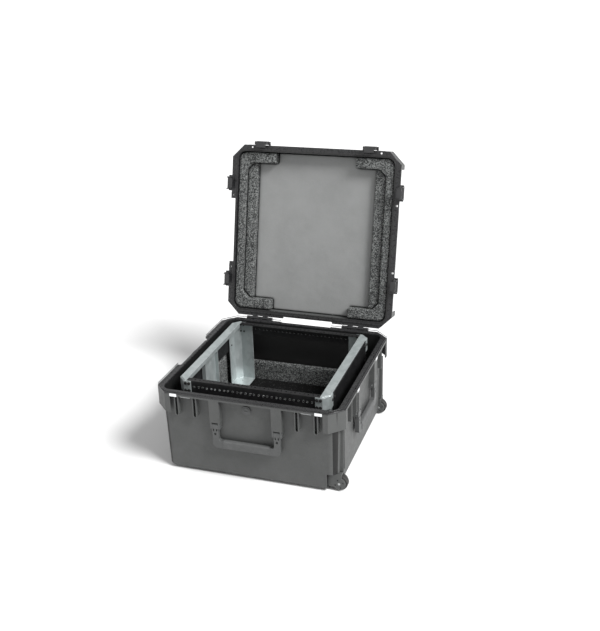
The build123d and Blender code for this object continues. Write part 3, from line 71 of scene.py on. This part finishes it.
# ---- Materials ----------------------------------------------------------------------------
class Look:
    """A material under construction, with one short call for each kind of node used here."""

    def __init__(self, name, roughness=0.5, metallic=0.0, specular=0.5):
        self.material = bpy.data.materials.new(name)
        self.material.use_nodes = True
        tree = self.material.node_tree
        self.nodes, self.links = tree.nodes, tree.links
        self.shader = next(n for n in self.nodes if n.type == "BSDF_PRINCIPLED")
        self.shader.inputs["Roughness"].default_value = roughness
        self.shader.inputs["Metallic"].default_value = metallic
        self.shader.inputs["Specular IOR Level"].default_value = specular
        self.place = self.add("ShaderNodeTexCoord").outputs["Object"]

    def add(self, kind, inputs=None, **settings):
        node = self.nodes.new(kind)
        for key, value in settings.items():
            setattr(node, key, value)
        for key, value in (inputs or {}).items():
            if isinstance(value, bpy.types.NodeSocket):
                self.links.new(value, node.inputs[key])
            else:
                node.inputs[key].default_value = value
        return node

    def stretched(self, scale):
        """The place, squeezed along each axis, for grain that runs one way."""
        squeezed = self.add("ShaderNodeMapping", {"Vector": self.place, "Scale": scale})
        return squeezed.outputs["Vector"]

    def noise(self, size, detail=2.0, rough=0.5, place=None):
        """Soft mottling with features about size metres across."""
        return self.add("ShaderNodeTexNoise", {
            "Vector": place or self.place, "Scale": 1 / size, "Detail": detail, "Roughness": rough,
        }).outputs["Fac"]

    def cells(self, size, feature="F1", output="Distance", place=None):
        return self.add("ShaderNodeTexVoronoi", {
            "Vector": place or self.place, "Scale": 1 / size,
        }, feature=feature).outputs[output]

    def ramp(self, factor, *stops, smooth=False):
        """Colours or grey levels at positions along a factor."""
        node = self.add("ShaderNodeValToRGB", {"Fac": factor})
        ramp = node.color_ramp
        ramp.interpolation = "EASE" if smooth else "LINEAR"
        while len(ramp.elements) < len(stops):
            ramp.elements.new(0.5)
        for element, (position, value) in zip(ramp.elements, stops):
            element.position = position
            colour = value if isinstance(value, tuple) else (value, value, value)
            element.color = (*colour, 1)
        return node.outputs["Color"]

    def mix(self, factor, a, b, kind="MIX"):
        node = self.add("ShaderNodeMix", data_type="RGBA", blend_type=kind)
        for socket, value in ((node.inputs[0], factor), (node.inputs[6], a), (node.inputs[7], b)):
            if isinstance(value, bpy.types.NodeSocket):
                self.links.new(value, socket)
            elif isinstance(value, tuple):
                socket.default_value = (*value, 1)
            else:
                socket.default_value = value
        return node.outputs[2]

    def math(self, kind, a, b):
        node = self.add("ShaderNodeMath", operation=kind)
        for socket, value in zip(node.inputs, (a, b)):
            if isinstance(value, bpy.types.NodeSocket):
                self.links.new(value, socket)
            else:
                socket.default_value = value
        return node.outputs[0]

    def blend(self, a, b, share):
        """share of a, with the rest from b."""
        rest = self.math("MULTIPLY", b, 1.0 - share)
        return self.math("ADD", self.math("MULTIPLY", a, share), rest)

    def dot(self, a, b):
        product = self.add("ShaderNodeVectorMath", {0: a, 1: b}, operation="DOT_PRODUCT")
        return product.outputs["Value"]

    def edges(self, radius):
        """Shading normal with edges rounded over, and how far it differs from the flat one."""
        soft = self.add("ShaderNodeBevel", {"Radius": radius}, samples=6).outputs["Normal"]
        flat = self.add("ShaderNodeNewGeometry").outputs["Normal"]
        return soft, self.math("SUBTRACT", 1.0, self.dot(soft, flat))

    def bump(self, height, depth, normal=None, strength=1.0):
        inputs = {"Height": height, "Distance": depth, "Strength": strength}
        if normal:
            inputs["Normal"] = normal
        return self.add("ShaderNodeBump", inputs).outputs["Normal"]

    def done(self, colour=None, roughness=None, normal=None):
        for key, value in (("Base Color", colour), ("Roughness", roughness), ("Normal", normal)):
            if value is not None:
                self.links.new(value, self.shader.inputs[key])
        return self.material


def paler(colour, factor, lift=0.0):
    """The same colour made lighter, for wear and dust."""
    return tuple(min(1, c * factor + lift) for c in colour)


def moulded_plastic(name, dark, light, grain=0.0011, grain_depth=0.00012, rough=(0.5, 0.64),
                    edge=0.0016, wear=0.25, inside=None, rim=None):
    """Moulded plastic: pebbled grain, slight mottling, and edges rubbed a little lighter.

    inside and rim are masks: the inner skin, painted near black as painted shade, and the smooth
    scuffed rim.
    """
    look = Look(name, specular=0.45)
    mottle = look.noise(0.055, 4, 0.6)
    speck = look.noise(grain * 1.6, 2, 0.6)
    colour = look.mix(look.ramp(mottle, (0.3, 0.0), (0.7, 1.0)), dark, light)
    colour = look.mix(look.ramp(speck, (0.35, 0.0), (0.75, 0.5)), colour, paler(light, 1.35))
    soft, worn = look.edges(edge)
    patches = look.ramp(look.noise(0.012, 3), (0.3, 0.3), (0.7, 1.0))
    rubbed = look.math("MULTIPLY", look.ramp(worn, (0.01, 0.0), (0.16, wear)), patches)
    colour = look.mix(rubbed, colour, paler(light, 1.7, 0.01))
    if inside:
        # Painted shade: the inner skin's colour is taken to near black.
        colour = look.mix(inside(look), colour, (0.004, 0.004, 0.004))
    roughness = look.ramp(look.noise(0.02, 5, 0.6), (0.3, rough[0]), (0.7, rough[1]))
    if rim:
        smooth = rim(look)
        scuff = look.ramp(look.noise(0.009, 5, 0.65), (0.35, 0.0), (0.75, 1.0))
        scuffed = look.mix(scuff, (0.016, 0.016, 0.017), (0.034, 0.034, 0.035))
        colour = look.mix(smooth, colour, scuffed)
        roughness = look.mix(smooth, roughness, look.ramp(scuff, (0.0, 0.24), (1.0, 0.4)))
    grain_normal = look.bump(look.cells(grain), grain_depth, soft, 0.8)
    normal = look.bump(look.noise(0.03, 2), 0.0004, grain_normal, 0.35)
    return look.done(colour, roughness, normal)


def speckled_foam(name, dark, speck, spread=(0.46, 0.74), size=0.0026):
    """Cut recycled foam: dark crumb with pale specks and an open, pitted surface."""
    look = Look(name, roughness=0.93, specular=0.15)
    crumb = look.cells(size, output="Color")
    value = look.add("ShaderNodeSeparateColor", {"Color": crumb}).outputs[0]
    grain = look.noise(size * 0.45, 3, 0.7)
    both = look.blend(value, grain, 0.45)
    pale = look.ramp(both, (spread[0], 0.0), (spread[1], 1.0))
    patches = look.ramp(look.noise(0.05, 3), (0.3, 0.0), (0.7, 0.35))
    tone = look.mix(patches, dark, paler(dark, 1.8))
    colour = look.mix(pale, tone, speck)
    pits = look.math("ADD", look.cells(size * 0.7), look.math("MULTIPLY", grain, 0.8))
    return look.done(colour, None, look.bump(pits, 0.0011, None, 0.85))


def smooth_foam(name, dark, light):
    """Fine closed-cell foam sheet: pale grey, slightly cloudy, with tiny cells."""
    look = Look(name, roughness=0.88, specular=0.2)
    cloud = look.ramp(look.noise(0.09, 5, 0.55), (0.32, 0.0), (0.68, 1.0), smooth=True)
    cells = look.ramp(look.noise(0.0022, 3, 0.65), (0.35, 0.0), (0.7, 1.0))
    clouded = look.mix(cloud, dark, light)
    colour = look.mix(look.math("MULTIPLY", cells, 0.45), clouded, paler(light, 1.18))
    return look.done(colour, None, look.bump(look.noise(0.0018, 3, 0.6), 0.0003, None, 0.7))


def zinc_sheet(name, dark, light, rough=(0.26, 0.46)):
    """Zinc plated sheet: faint spangle, rolling marks and brighter folded edges."""
    look = Look(name, metallic=0.55)
    spangle = look.add("ShaderNodeSeparateColor", {
        "Color": look.cells(0.011, output="Color", place=look.stretched((1.0, 1.0, 0.6))),
    }).outputs[1]
    cloud = look.noise(0.06, 4, 0.6)
    tone = look.blend(spangle, cloud, 0.35)
    colour = look.mix(look.ramp(tone, (0.28, 0.0), (0.72, 1.0)), dark, light)
    soft, worn = look.edges(0.0009)
    colour = look.mix(look.ramp(worn, (0.01, 0.0), (0.2, 0.7)), colour, (0.86, 0.88, 0.88))
    marks = look.noise(0.0012, 3, 0.6, look.stretched((1.0, 0.06, 1.0)))
    roughness = look.ramp(look.blend(spangle, marks, 0.4), (0.3, rough[0]), (0.7, rough[1]))
    return look.done(colour, roughness, look.bump(marks, 0.00005, soft, 0.5))


def bright_metal(name, dark, light, rough, grain=(1.0, 0.05, 1.0), edge=0.0006):
    """Brushed or drawn metal with fine lines one way and polished edges."""
    look = Look(name, metallic=1.0)
    lines = look.noise(0.0007, 3, 0.6, look.stretched(grain))
    smudge = look.noise(0.012, 4, 0.6)
    soft, worn = look.edges(edge)
    colour = look.mix(look.ramp(lines, (0.3, 0.0), (0.7, 1.0)), dark, light)
    colour = look.mix(look.ramp(worn, (0.02, 0.0), (0.2, 0.6)), colour, paler(light, 1.15))
    roughness = look.ramp(look.blend(lines, smudge, 0.5), (0.3, rough[0]), (0.7, rough[1]))
    return look.done(colour, roughness, look.bump(lines, 0.00003, soft, 0.5))


def powder_coat(name, dark, light):
    """Black powder coat: orange-peel skin, and a little bare metal on the sharpest edges."""
    look = Look(name, specular=0.5)
    peel = look.noise(0.0016, 2, 0.5)
    dust = look.ramp(look.noise(0.035, 5, 0.65), (0.4, 0.0), (0.75, 1.0))
    soft, worn = look.edges(0.0008)
    colour = look.mix(dust, dark, light)
    patches = look.ramp(look.noise(0.006, 3), (0.5, 0.0), (0.62, 1.0))
    chips = look.math("MULTIPLY", look.ramp(worn, (0.05, 0.0), (0.3, 0.8)), patches)
    colour = look.mix(chips, colour, (0.2, 0.2, 0.2))
    roughness = look.ramp(look.noise(0.01, 4), (0.3, 0.38), (0.7, 0.55))
    return look.done(colour, roughness, look.bump(peel, 0.00012, soft, 0.6))


def rubber(name, dark, light, rough=(0.62, 0.8), grain=0.0012):
    """Rubber: matt, with dust lying in its grain."""
    look = Look(name, specular=0.35)
    dust = look.ramp(look.noise(0.014, 5, 0.65), (0.35, 0.0), (0.75, 1.0))
    soft, worn = look.edges(0.001)
    colour = look.mix(dust, dark, light)
    colour = look.mix(look.ramp(worn, (0.02, 0.0), (0.2, 0.35)), colour, paler(light, 1.8))
    roughness = look.ramp(look.noise(0.006, 4), (0.3, rough[0]), (0.7, rough[1]))
    return look.done(colour, roughness, look.bump(look.noise(grain, 3), 0.00015, soft, 0.6))


# ---- Where the shells' inner skins, painted in shade, and rims are ------------------------
base_low, base_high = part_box("base_shell")
HALF_W, HALF_D, RIM = base_high.x, -base_low.y, base_high.z
FLANGE = 0.010           # thickness of the rim flange, on the base and on the lid
DRAFT = 0.0262           # how far the walls lean in for each metre down
FLOOR_SKIN = 0.0105      # height of the inner floor's skin


def base_inner_shade_mask(look):
    """1 on the base's inner skin, which is painted near black as painted shade, and 0 outside it.
    """
    low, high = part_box("lid_seal")
    half = (high.x - low.x) / 2 - 0.003
    axes = look.add("ShaderNodeSeparateXYZ", {"Vector": look.place})
    across = look.math("ABSOLUTE", axes.outputs["X"], 0.0)
    along = look.math("ABSOLUTE", axes.outputs["Y"], 0.0)
    lean = look.math("MULTIPLY", look.math("SUBTRACT", RIM, axes.outputs["Z"]), DRAFT)
    in_x = look.math("LESS_THAN", look.math("ADD", across, lean), half)
    in_y = look.math("LESS_THAN", look.math("ADD", along, lean), half - 0.001)
    above = look.math("GREATER_THAN", axes.outputs["Z"], FLOOR_SKIN)
    return look.math("MULTIPLY", look.math("MULTIPLY", in_x, in_y), above)


def base_rim(look):
    """1 on the base's smooth rim flange."""
    axes = look.add("ShaderNodeSeparateXYZ", {"Vector": look.place})
    return look.math("GREATER_THAN", axes.outputs["Z"], RIM - FLANGE - 0.0005)


def lid_rim(look):
    """1 on the lid's smooth rim flange, measured out from the rim's plane."""
    out = OPEN.to_3x3() @ Vector((0, 0, 1))
    rim_end = out.dot(HINGE) + FLANGE + 0.0022
    return look.math("LESS_THAN", look.dot(look.place, tuple(out)), rim_end)


CHARCOAL = ((0.054, 0.056, 0.055), (0.067, 0.069, 0.068))
EVEN = (1.0, 1.0, 1.0)       # metal without a drawing direction
UPRIGHT = (1.0, 1.0, 0.04)   # metal drawn along its height
LOOKS = {
    "case_plastic": moulded_plastic("charcoal_case_plastic", *CHARCOAL),
    "base_plastic": moulded_plastic(
        "charcoal_base_plastic", *CHARCOAL, inside=base_inner_shade_mask, rim=base_rim),
    "lid_plastic": moulded_plastic("charcoal_lid_plastic", *CHARCOAL, rim=lid_rim),
    "rim_plastic": moulded_plastic(
        "black_rim_plastic", (0.014, 0.014, 0.015), (0.026, 0.026, 0.027),
        grain=0.0008, grain_depth=0.00003, rough=(0.24, 0.4), edge=0.001),
    "trim_plastic": moulded_plastic(
        "black_trim_plastic", (0.020, 0.020, 0.021), (0.034, 0.034, 0.035),
        grain=0.0008, grain_depth=0.00005, rough=(0.36, 0.5), edge=0.001),
    "handle_plastic": moulded_plastic(
        "charcoal_handle_plastic", (0.054, 0.056, 0.056), (0.070, 0.072, 0.072),
        grain=0.0009, grain_depth=0.00008, rough=(0.42, 0.56), wear=0.4),
    "grip_rubber": rubber(
        "handle_grip_rubber", (0.075, 0.077, 0.077), (0.098, 0.100, 0.100), rough=(0.55, 0.7)),
    "rubber": rubber("black_rubber", (0.012, 0.012, 0.012), (0.030, 0.030, 0.029)),
    "tyre": rubber("wheel_tyre_rubber", (0.018, 0.018, 0.018), (0.045, 0.044, 0.042)),
    "stainless": bright_metal(
        "polished_stainless", (0.78, 0.79, 0.80), (0.90, 0.91, 0.92), (0.10, 0.24)),
    "zinc_steel": zinc_sheet(
        "zinc_plated_sheet", (0.36, 0.40, 0.40), (0.45, 0.49, 0.49), rough=(0.34, 0.5)),
    "black_steel": powder_coat(
        "black_powder_coat", (0.005, 0.005, 0.0055), (0.012, 0.012, 0.0125)),
    "bolt_steel": bright_metal(
        "zinc_plated_bolts", (0.36, 0.37, 0.37), (0.52, 0.53, 0.53), (0.25, 0.4), grain=EVEN),
    "dark_bolt": powder_coat("black_bolts", (0.012, 0.012, 0.012), (0.03, 0.03, 0.03)),
    "aluminium_tube": bright_metal(
        "satin_aluminium_tube", (0.62, 0.63, 0.64), (0.74, 0.75, 0.76), (0.24, 0.4),
        grain=UPRIGHT),
    "foam_charcoal": speckled_foam(
        "speckled_charcoal_foam", (0.028, 0.029, 0.029), (0.27, 0.28, 0.275)),
    # The base's floor foam: the speckled foam with its tone taken near black, painted shade at the
    # bottom of the case.
    "foam_dark_shaded": speckled_foam(
        "shaded_dark_base_foam", (0.0015, 0.0015, 0.0015), (0.30, 0.31, 0.305), spread=(0.74, 0.80)),
    "foam_grey": smooth_foam("light_grey_foam", (0.205, 0.209, 0.207), (0.228, 0.232, 0.230)),
}
CAD_LOOKS = {
    "base_plastic": ("base_shell",),
    "lid_plastic": ("lid_shell",),
    "case_plastic": ("wheel_housings",),
    "handle_plastic": ("front_handle", "side_handle", "handle_brackets", "pull_handle_grip",
                       "pressure_valve_body", "pressure_valve_cap", "wheel_hub_front",
                       "wheel_hub_rear"),
    "trim_plastic": ("pull_handle_button",
                     *(name for name in nodes if name.startswith(("latch_", "trigger_")))),
    "grip_rubber": ("front_handle_grip", "side_handle_grip"),
    "rubber": ("foot_pads", "lid_seal", "shock_mounts"),
    "tyre": ("wheel_tyre_front", "wheel_tyre_rear"),
    "stainless": ("base_padlock_plates", "lid_padlock_plates"),
    "zinc_steel": ("rack_side_rails", "rack_side_stays", "rack_posts", "rack_corner_plates",
                   "shock_mount_plates"),
    "black_steel": ("rack_rail_front", "rack_rail_rear", "rack_side_plates"),
    "dark_bolt": ("rack_bolts", "handle_bracket_screws"),
    "bolt_steel": ("hinge_pins", "latch_pins", "latch_strikes", "handle_pins", "wheel_axles"),
    "aluminium_tube": ("pull_handle_sleeves", "pull_handle_middle_tubes",
                       "pull_handle_inner_tubes"),
}


def paint(obj, look):
    """Gives a piece one look, over the whole of it."""
    obj.data.materials.clear()
    obj.data.materials.append(LOOKS[look])


for look, names in CAD_LOOKS.items():
    for name in names:
        paint(nodes[name], look)


def settled_mesh(obj):
    """A mesh of an object as it is with its modifiers, or its curve's bevel, applied."""
    graph = bpy.context.evaluated_depsgraph_get()
    return bpy.data.meshes.new_from_object(obj.evaluated_get(graph))


# ---- Foam ---------------------------------------------------------------------------------
def cut_foam(name, outline, low, high, look, body, matrix=None, voxel=0.004, rough=0.0007,
             rounding=4):
    """One node's cut foam: an outline, or several, taken from low to high, with softened edges."""
    mesh = bpy.data.meshes.new(name)
    bm = bmesh.new()
    for points in outline if isinstance(outline[0], list) else [outline]:
        base = [bm.verts.new((x, y, low)) for x, y in points]
        face = bm.faces.new(base)
        top = bmesh.ops.extrude_face_region(bm, geom=[face])
        for v in (g for g in top["geom"] if isinstance(g, bmesh.types.BMVert)):
            v.co.z = high
    bmesh.ops.recalc_face_normals(bm, faces=bm.faces)
    bm.to_mesh(mesh)
    bm.free()
    obj = bpy.data.objects.new(name, mesh)
    scene.collection.objects.link(obj)
    remesh = obj.modifiers.new("skin", "REMESH")
    remesh.mode, remesh.voxel_size = "VOXEL", voxel
    smooth = obj.modifiers.new("soften", "SMOOTH")
    smooth.iterations, smooth.factor = rounding, 0.5
    shaped = settled_mesh(obj)
    obj.modifiers.clear()
    obj.data = shaped
    seed = Vector((len(name) * 3.1, low * 50, 7.7))
    places = [v.co.copy() for v in shaped.vertices]
    waves = [noise.noise(p * 45 + seed) * 0.6 + noise.noise(p * 160 + seed) * 0.4 for p in places]
    pushes = [n.vector * rough * (wave - 0.6) for wave, n in zip(waves, shaped.vertex_normals)]
    shaped.vertices.foreach_set("co", [c for p, push in zip(places, pushes) for c in p + push])
    if matrix:
        shaped.transform(matrix)
    shaped.polygons.foreach_set("use_smooth", [True] * len(shaped.polygons))
    shaped.update()
    paint(obj, look)
    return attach(obj, body)


def rounded_corner(centre_x, centre_y, radius, start, steps=8):
    """Points round a quarter circle, from the start angle in degrees."""
    angles = [radians(start + 90 * i / steps) for i in range(steps + 1)]
    return [(centre_x + radius * cos(a), centre_y + radius * sin(a)) for a in angles]


def rectangle(x0, x1, y0, y1):
    return [(x0, y0), (x1, y0), (x1, y1), (x0, y1)]


strip_low, strip_high = closed_box("lid_foam_right")
_, block_high = closed_box("lid_foam_corners")
step_low, step_high = closed_box("lid_foam_steps")
panel_low, panel_high = closed_box("lid_foam_panel")
CHAMFER = 0.024        # cut across an inner corner of the lid's foam
CORNER = 0.029         # radius of its outer corners
BLOCK_LENGTH = 0.112   # of a corner block, in from the side
BLOCK_DEPTH = 0.039    # of a corner block, in from the front or back
STEP_WIDTH = 0.039     # of the inner step beside each strip
WALL_FOAM = 0.018      # thickness of the base's side foams


def lid_liner(way):
    """C-shaped outer foam: a side strip with its two corner blocks, chamfered where they meet."""
    outer, inner, reach = strip_high.x, strip_low.x, block_high.x - BLOCK_LENGTH
    front, back = strip_low.y, strip_high.y
    front_in, back_in = front + BLOCK_DEPTH, back - BLOCK_DEPTH
    right = rounded_corner(outer - CORNER, back - CORNER, CORNER, 0)
    right += [(reach, back), (reach, back_in),
              (inner - CHAMFER, back_in), (inner, back_in - CHAMFER),
              (inner, front_in + CHAMFER), (inner - CHAMFER, front_in),
              (reach, front_in), (reach, front)]
    right += rounded_corner(outer - CORNER, front + CORNER, CORNER, 270)
    points = right if way > 0 else [(-x, y) for x, y in reversed(right)]
    side = "right" if way > 0 else "left"
    obj = cut_foam(f"lid_liner_{side}", points, strip_low.z, strip_high.z, "foam_charcoal", "lid",
                   OPEN, voxel=0.0035)
    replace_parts(obj, f"lid_foam_{side}", "lid_foam_corners")


def lid_step(way):
    """Outline of the lower step inside a strip, its two outer corners chamfered."""
    inner, outer = step_high.x - STEP_WIDTH, step_high.x - 0.0005
    front, back = step_low.y, step_high.y
    cut = CHAMFER + 0.001
    points = [(inner, front), (outer - cut, front), (outer, front + cut),
              (outer, back - cut), (outer - cut, back), (inner, back)]
    return points if way > 0 else [(-x, y) for x, y in reversed(points)]


for way in (-1, 1):
    lid_liner(way)
steps = cut_foam("lid_inner_steps", [lid_step(-1), lid_step(1)], step_low.z, step_high.z,
                 "foam_charcoal", "lid", OPEN, voxel=0.0035)
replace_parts(steps, "lid_foam_steps")

# The grey sheet is wide along the steps, and narrower between the corner blocks.
reach = block_high.x - BLOCK_LENGTH - 0.001
side = [(reach, panel_low.y), (reach, step_low.y), (panel_high.x, step_low.y),
        (panel_high.x, step_high.y), (reach, step_high.y), (reach, panel_high.y)]
sheet = [(-reach, panel_low.y), *side, *((-x, y) for x, y in reversed(side[1:]))]
panel = cut_foam("lid_centre_panel", sheet, panel_low.z, panel_high.z, "foam_grey", "lid", OPEN,
                 voxel=0.0045, rough=0.0005, rounding=2)
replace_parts(panel, "lid_foam_panel")

for node in ("base_foam_floor", "base_foam_front", "base_foam_rear", "base_foam_sides"):
    low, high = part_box(node)
    outline = rectangle(low.x, high.x, low.y, high.y)
    if node == "base_foam_sides":
        outline = [rectangle(high.x - WALL_FOAM, high.x, low.y, high.y),
                   rectangle(low.x, low.x + WALL_FOAM, low.y, high.y)]
    # The floor foam gets the near-black look, painted shade.
    look = "foam_dark_shaded" if node == "base_foam_floor" else "foam_charcoal"
    name = node.replace("foam", "cut_foam")
    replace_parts(cut_foam(name, outline, low.z, high.z, look, "base", voxel=0.005), node)


# ---- Moulded and pressed details ------------------------------------------------------------
SHUT_RIM = RIM + 0.0005   # the shut lid's edge, over the gap between the rims
OVERHANG = 0.018          # how far the rim flange stands out past the wall
RIM_CHAMFER = 0.045       # cut across the case's corners, seen from above
SLANT = 0.586             # how much shorter that cut gets for each metre of inset
TOW_NOTCH = 0.1195        # half the rim's gap over the pull handle
HINGE_NOTCH = 0.0965      # half the rim's gap at the rear
SIDES = {
    "front": Matrix.Translation((0, -HALF_D, 0)) @ Matrix.Rotation(pi, 4, "Z"),
    "right": Matrix.Translation((HALF_W, 0, 0)) @ Matrix.Rotation(-pi / 2, 4, "Z"),
    "left": Matrix.Translation((-HALF_W, 0, 0)) @ Matrix.Rotation(pi / 2, 4, "Z"),
}


def finished(name, bm, look, body, matrix=None, bevel=0.0004):
    """Turns a bmesh into a piece with softened edges that rides on a body."""
    bmesh.ops.recalc_face_normals(bm, faces=bm.faces)
    if bevel:
        sharp = [e for e in bm.edges if len(e.link_faces) == 2 and e.calc_face_angle() > 0.6]
        bmesh.ops.bevel(bm, geom=sharp, offset=bevel, segments=2, affect="EDGES", profile=0.6)
    mesh = bpy.data.meshes.new(name)
    bm.to_mesh(mesh)
    bm.free()
    if matrix:
        mesh.transform(matrix)
    obj = bpy.data.objects.new(name, mesh)
    scene.collection.objects.link(obj)
    paint(obj, look)
    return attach(obj, body)


def add_web(bm, side, along, start, height):
    """Tapering web between a wall and its flange, from the flange's face at start."""
    wall, edge, half_thick = -OVERHANG - 0.0015, -0.0035, 0.0013
    corners = [(wall, start), (edge, start),
               (edge - 0.003, start + height * 0.3), (wall, start + height)]
    place = SIDES[side] @ Matrix.Translation((along if side == "left" else -along, 0, 0))
    rows = [[bm.verts.new(place @ Vector((x, y, z))) for y, z in corners]
            for x in (-half_thick, half_thick)]
    bm.faces.new(rows[0])
    bm.faces.new(list(reversed(rows[1])))
    for i in range(4):
        j = (i + 1) % 4
        bm.faces.new((rows[0][j], rows[0][i], rows[1][i], rows[1][j]))


# Each web's side and its place along it, between the latches and handles.
LID_WEBS = [("front", x) for x in (-0.132, -0.044, 0.044, 0.132)]
LID_WEBS += [("right", y) for y in (-0.075, 0.0, 0.07, 0.222)]
LID_WEBS += [("left", y) for y in (-0.23, 0.238)]
BASE_WEBS = [("front", x) for x in (-0.1425, -0.0525, 0.0525, 0.1425)]
BASE_WEBS += [("right", y) for y in (-0.0525, 0.0525)]
BASE_WEBS += [("left", y) for y in (-0.235, 0.242)]
WEB_HEIGHT = 0.016
for name, webs, start, height, look, body, matrix in (
    ("lid_flange_webs", LID_WEBS, SHUT_RIM + FLANGE, WEB_HEIGHT, "rim_plastic", "lid", OPEN),
    ("base_flange_webs", BASE_WEBS, RIM - FLANGE, -WEB_HEIGHT, "case_plastic", "base", None),
):
    bm = bmesh.new()
    for side, along in webs:
        add_web(bm, side, along, start, height)
    finished(name, bm, look, body, matrix)


def add_bead(name, runs, height, radius, body, matrix=None):
    """Thin round bead along a rim, in one or more runs."""
    curve = bpy.data.curves.new(name, "CURVE")
    curve.dimensions, curve.use_fill_caps = "3D", True
    curve.bevel_depth, curve.bevel_resolution = radius, 3
    for points in runs:
        spline = curve.splines.new("POLY")
        spline.points.add(len(points) - 1)
        for target, (x, y) in zip(spline.points, points):
            target.co = (x, y, height, 1)
    temp = bpy.data.objects.new(name, curve)
    scene.collection.objects.link(temp)
    mesh = settled_mesh(temp)
    bpy.data.objects.remove(temp)
    mesh.transform(matrix or Matrix())
    mesh.polygons.foreach_set("use_smooth", [True] * len(mesh.polygons))
    obj = bpy.data.objects.new(name, mesh)
    scene.collection.objects.link(obj)
    paint(obj, "rim_plastic")
    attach(obj, body)


def rim_run(inset):
    """The rim's outline in two runs, broken over the pull handle at the left and at the rear."""
    x, y = HALF_W - inset, HALF_D - inset
    cut = RIM_CHAMFER - inset * SLANT
    front = [(-x, -TOW_NOTCH), (-x, cut - y), (cut - x, -y), (x - cut, -y), (x, cut - y),
             (x, y - cut), (x - cut, y), (HINGE_NOTCH, y)]
    back = [(-HINGE_NOTCH, y), (cut - x, y), (-x, y - cut), (-x, TOW_NOTCH)]
    return [front, back]


add_bead("lid_rim_bead", rim_run(0.0022), SHUT_RIM + 0.0015, 0.0011, "lid", OPEN)
add_bead("base_rim_bead", rim_run(0.0022), RIM - 0.0015, 0.0011, "base")
add_bead("lid_flange_bead", rim_run(0.0045), SHUT_RIM + FLANGE, 0.0012, "lid", OPEN)


def add_ring(bm, matrix, outer, inner, thick, steps=14):
    """Flat ring about its own Z, standing thick above the matrix's plane."""
    sunk = -0.0003
    profile = ((outer, sunk), (outer, thick * 0.6), (outer - 0.0003, thick),
               (inner + 0.0002, thick), (inner, sunk))
    turns = [2 * pi * i / steps for i in range(steps)]
    loops = [[bm.verts.new(matrix @ Vector((r * cos(a), r * sin(a), z))) for a in turns]
             for r, z in profile]
    for a, b in zip(loops, loops[1:] + loops[:1]):
        for i in range(steps):
            j = (i + 1) % steps
            bm.faces.new((a[i], a[j], b[j], b[i]))


UNIT = 0.04445                            # one rack unit
RAIL_UNITS = 10
UNIT_HOLES = (0.00635, 0.022225, 0.0381)  # a rail's holes, from the start of each unit
EYELET = {"outer": 0.0040, "inner": 0.0022, "thick": 0.0006}


def rail_eyelets(node, way):
    """Bright plated eyelets in the row of holes along a rail's upright web."""
    low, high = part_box(node)
    face = low.y if way < 0 else high.y
    height = (low.z + high.z) / 2
    turn = Matrix.Rotation(pi / 2 if way < 0 else -pi / 2, 4, "X")
    bm = bmesh.new()
    for unit in range(RAIL_UNITS):
        for hole in UNIT_HOLES:
            x = (unit - RAIL_UNITS / 2) * UNIT + hole
            add_ring(bm, Matrix.Translation((x, face, height)) @ turn, **EYELET)
    finished(f"{node}_eyelets", bm, "bolt_steel", "base", bevel=0)


rail_eyelets("rack_rail_front", -1)
rail_eyelets("rack_rail_rear", 1)


# ---- Camera, light and floor --------------------------------------------------------------
def direction(azimuth, elevation):
    """Unit vector in degrees: azimuth from the front towards the right, elevation from level."""
    a, e = radians(azimuth), radians(elevation)
    return Vector((sin(a) * cos(e), -cos(a) * cos(e), sin(e)))


def add_camera(place, azimuth, elevation, roll, lens):
    back = direction(azimuth, elevation)
    right = (-back).cross(Vector((0, 0, 1))).normalized()
    up = right.cross(-back)
    r = radians(roll)
    right, up = right * cos(r) + up * sin(r), up * cos(r) - right * sin(r)
    data = bpy.data.cameras.new("camera")
    data.lens, data.sensor_width = lens, 36.0
    camera = bpy.data.objects.new("camera", data)
    camera.matrix_world = Matrix((
        (right.x, up.x, back.x, place[0]), (right.y, up.y, back.y, place[1]),
        (right.z, up.z, back.z, place[2]), (0, 0, 0, 1),
    ))
    scene.collection.objects.link(camera)
    scene.camera = camera


def add_light(name, azimuth, elevation, softness, strength):
    """Soft far light from a direction."""
    data = bpy.data.lights.new(name, "SUN")
    data.angle, data.energy = radians(softness), strength
    light = bpy.data.objects.new(name, data)
    light.rotation_euler = direction(azimuth, elevation).to_track_quat("Z", "Y").to_euler()
    scene.collection.objects.link(light)


def add_floor():
    """A wide pale floor that meets the pale surroundings."""
    look = Look("pale_studio_floor", roughness=0.9, specular=0.1)
    tone = look.ramp(look.noise(0.4, 2), (0.3, (0.76, 0.76, 0.76)), (0.7, (0.78, 0.78, 0.78)))
    bm = bmesh.new()
    bmesh.ops.create_grid(bm, x_segments=4, y_segments=4, size=60)
    mesh = bpy.data.meshes.new("studio_floor")
    bm.to_mesh(mesh)
    bm.free()
    mesh.materials.append(look.done(tone))
    floor = bpy.data.objects.new("studio_floor", mesh)
    floor.location.z = -0.0005
    scene.collection.objects.link(floor)


def add_surroundings():
    """Even white light from all round."""
    world = bpy.data.worlds.new("studio")
    world.use_nodes = True
    background = world.node_tree.nodes["Background"]
    background.inputs["Color"].default_value = (1, 1, 1, 1)
    background.inputs["Strength"].default_value = 0.55
    scene.world = world


add_camera((0.9996, -2.6881, 1.6754), azimuth=18.79, elevation=23.03, roll=-1.6, lens=53.38)
add_light("key", azimuth=72, elevation=46, softness=24, strength=4.9)
add_light("front_fill", azimuth=-30, elevation=35, softness=60, strength=0.2)
add_floor()
add_surroundings()
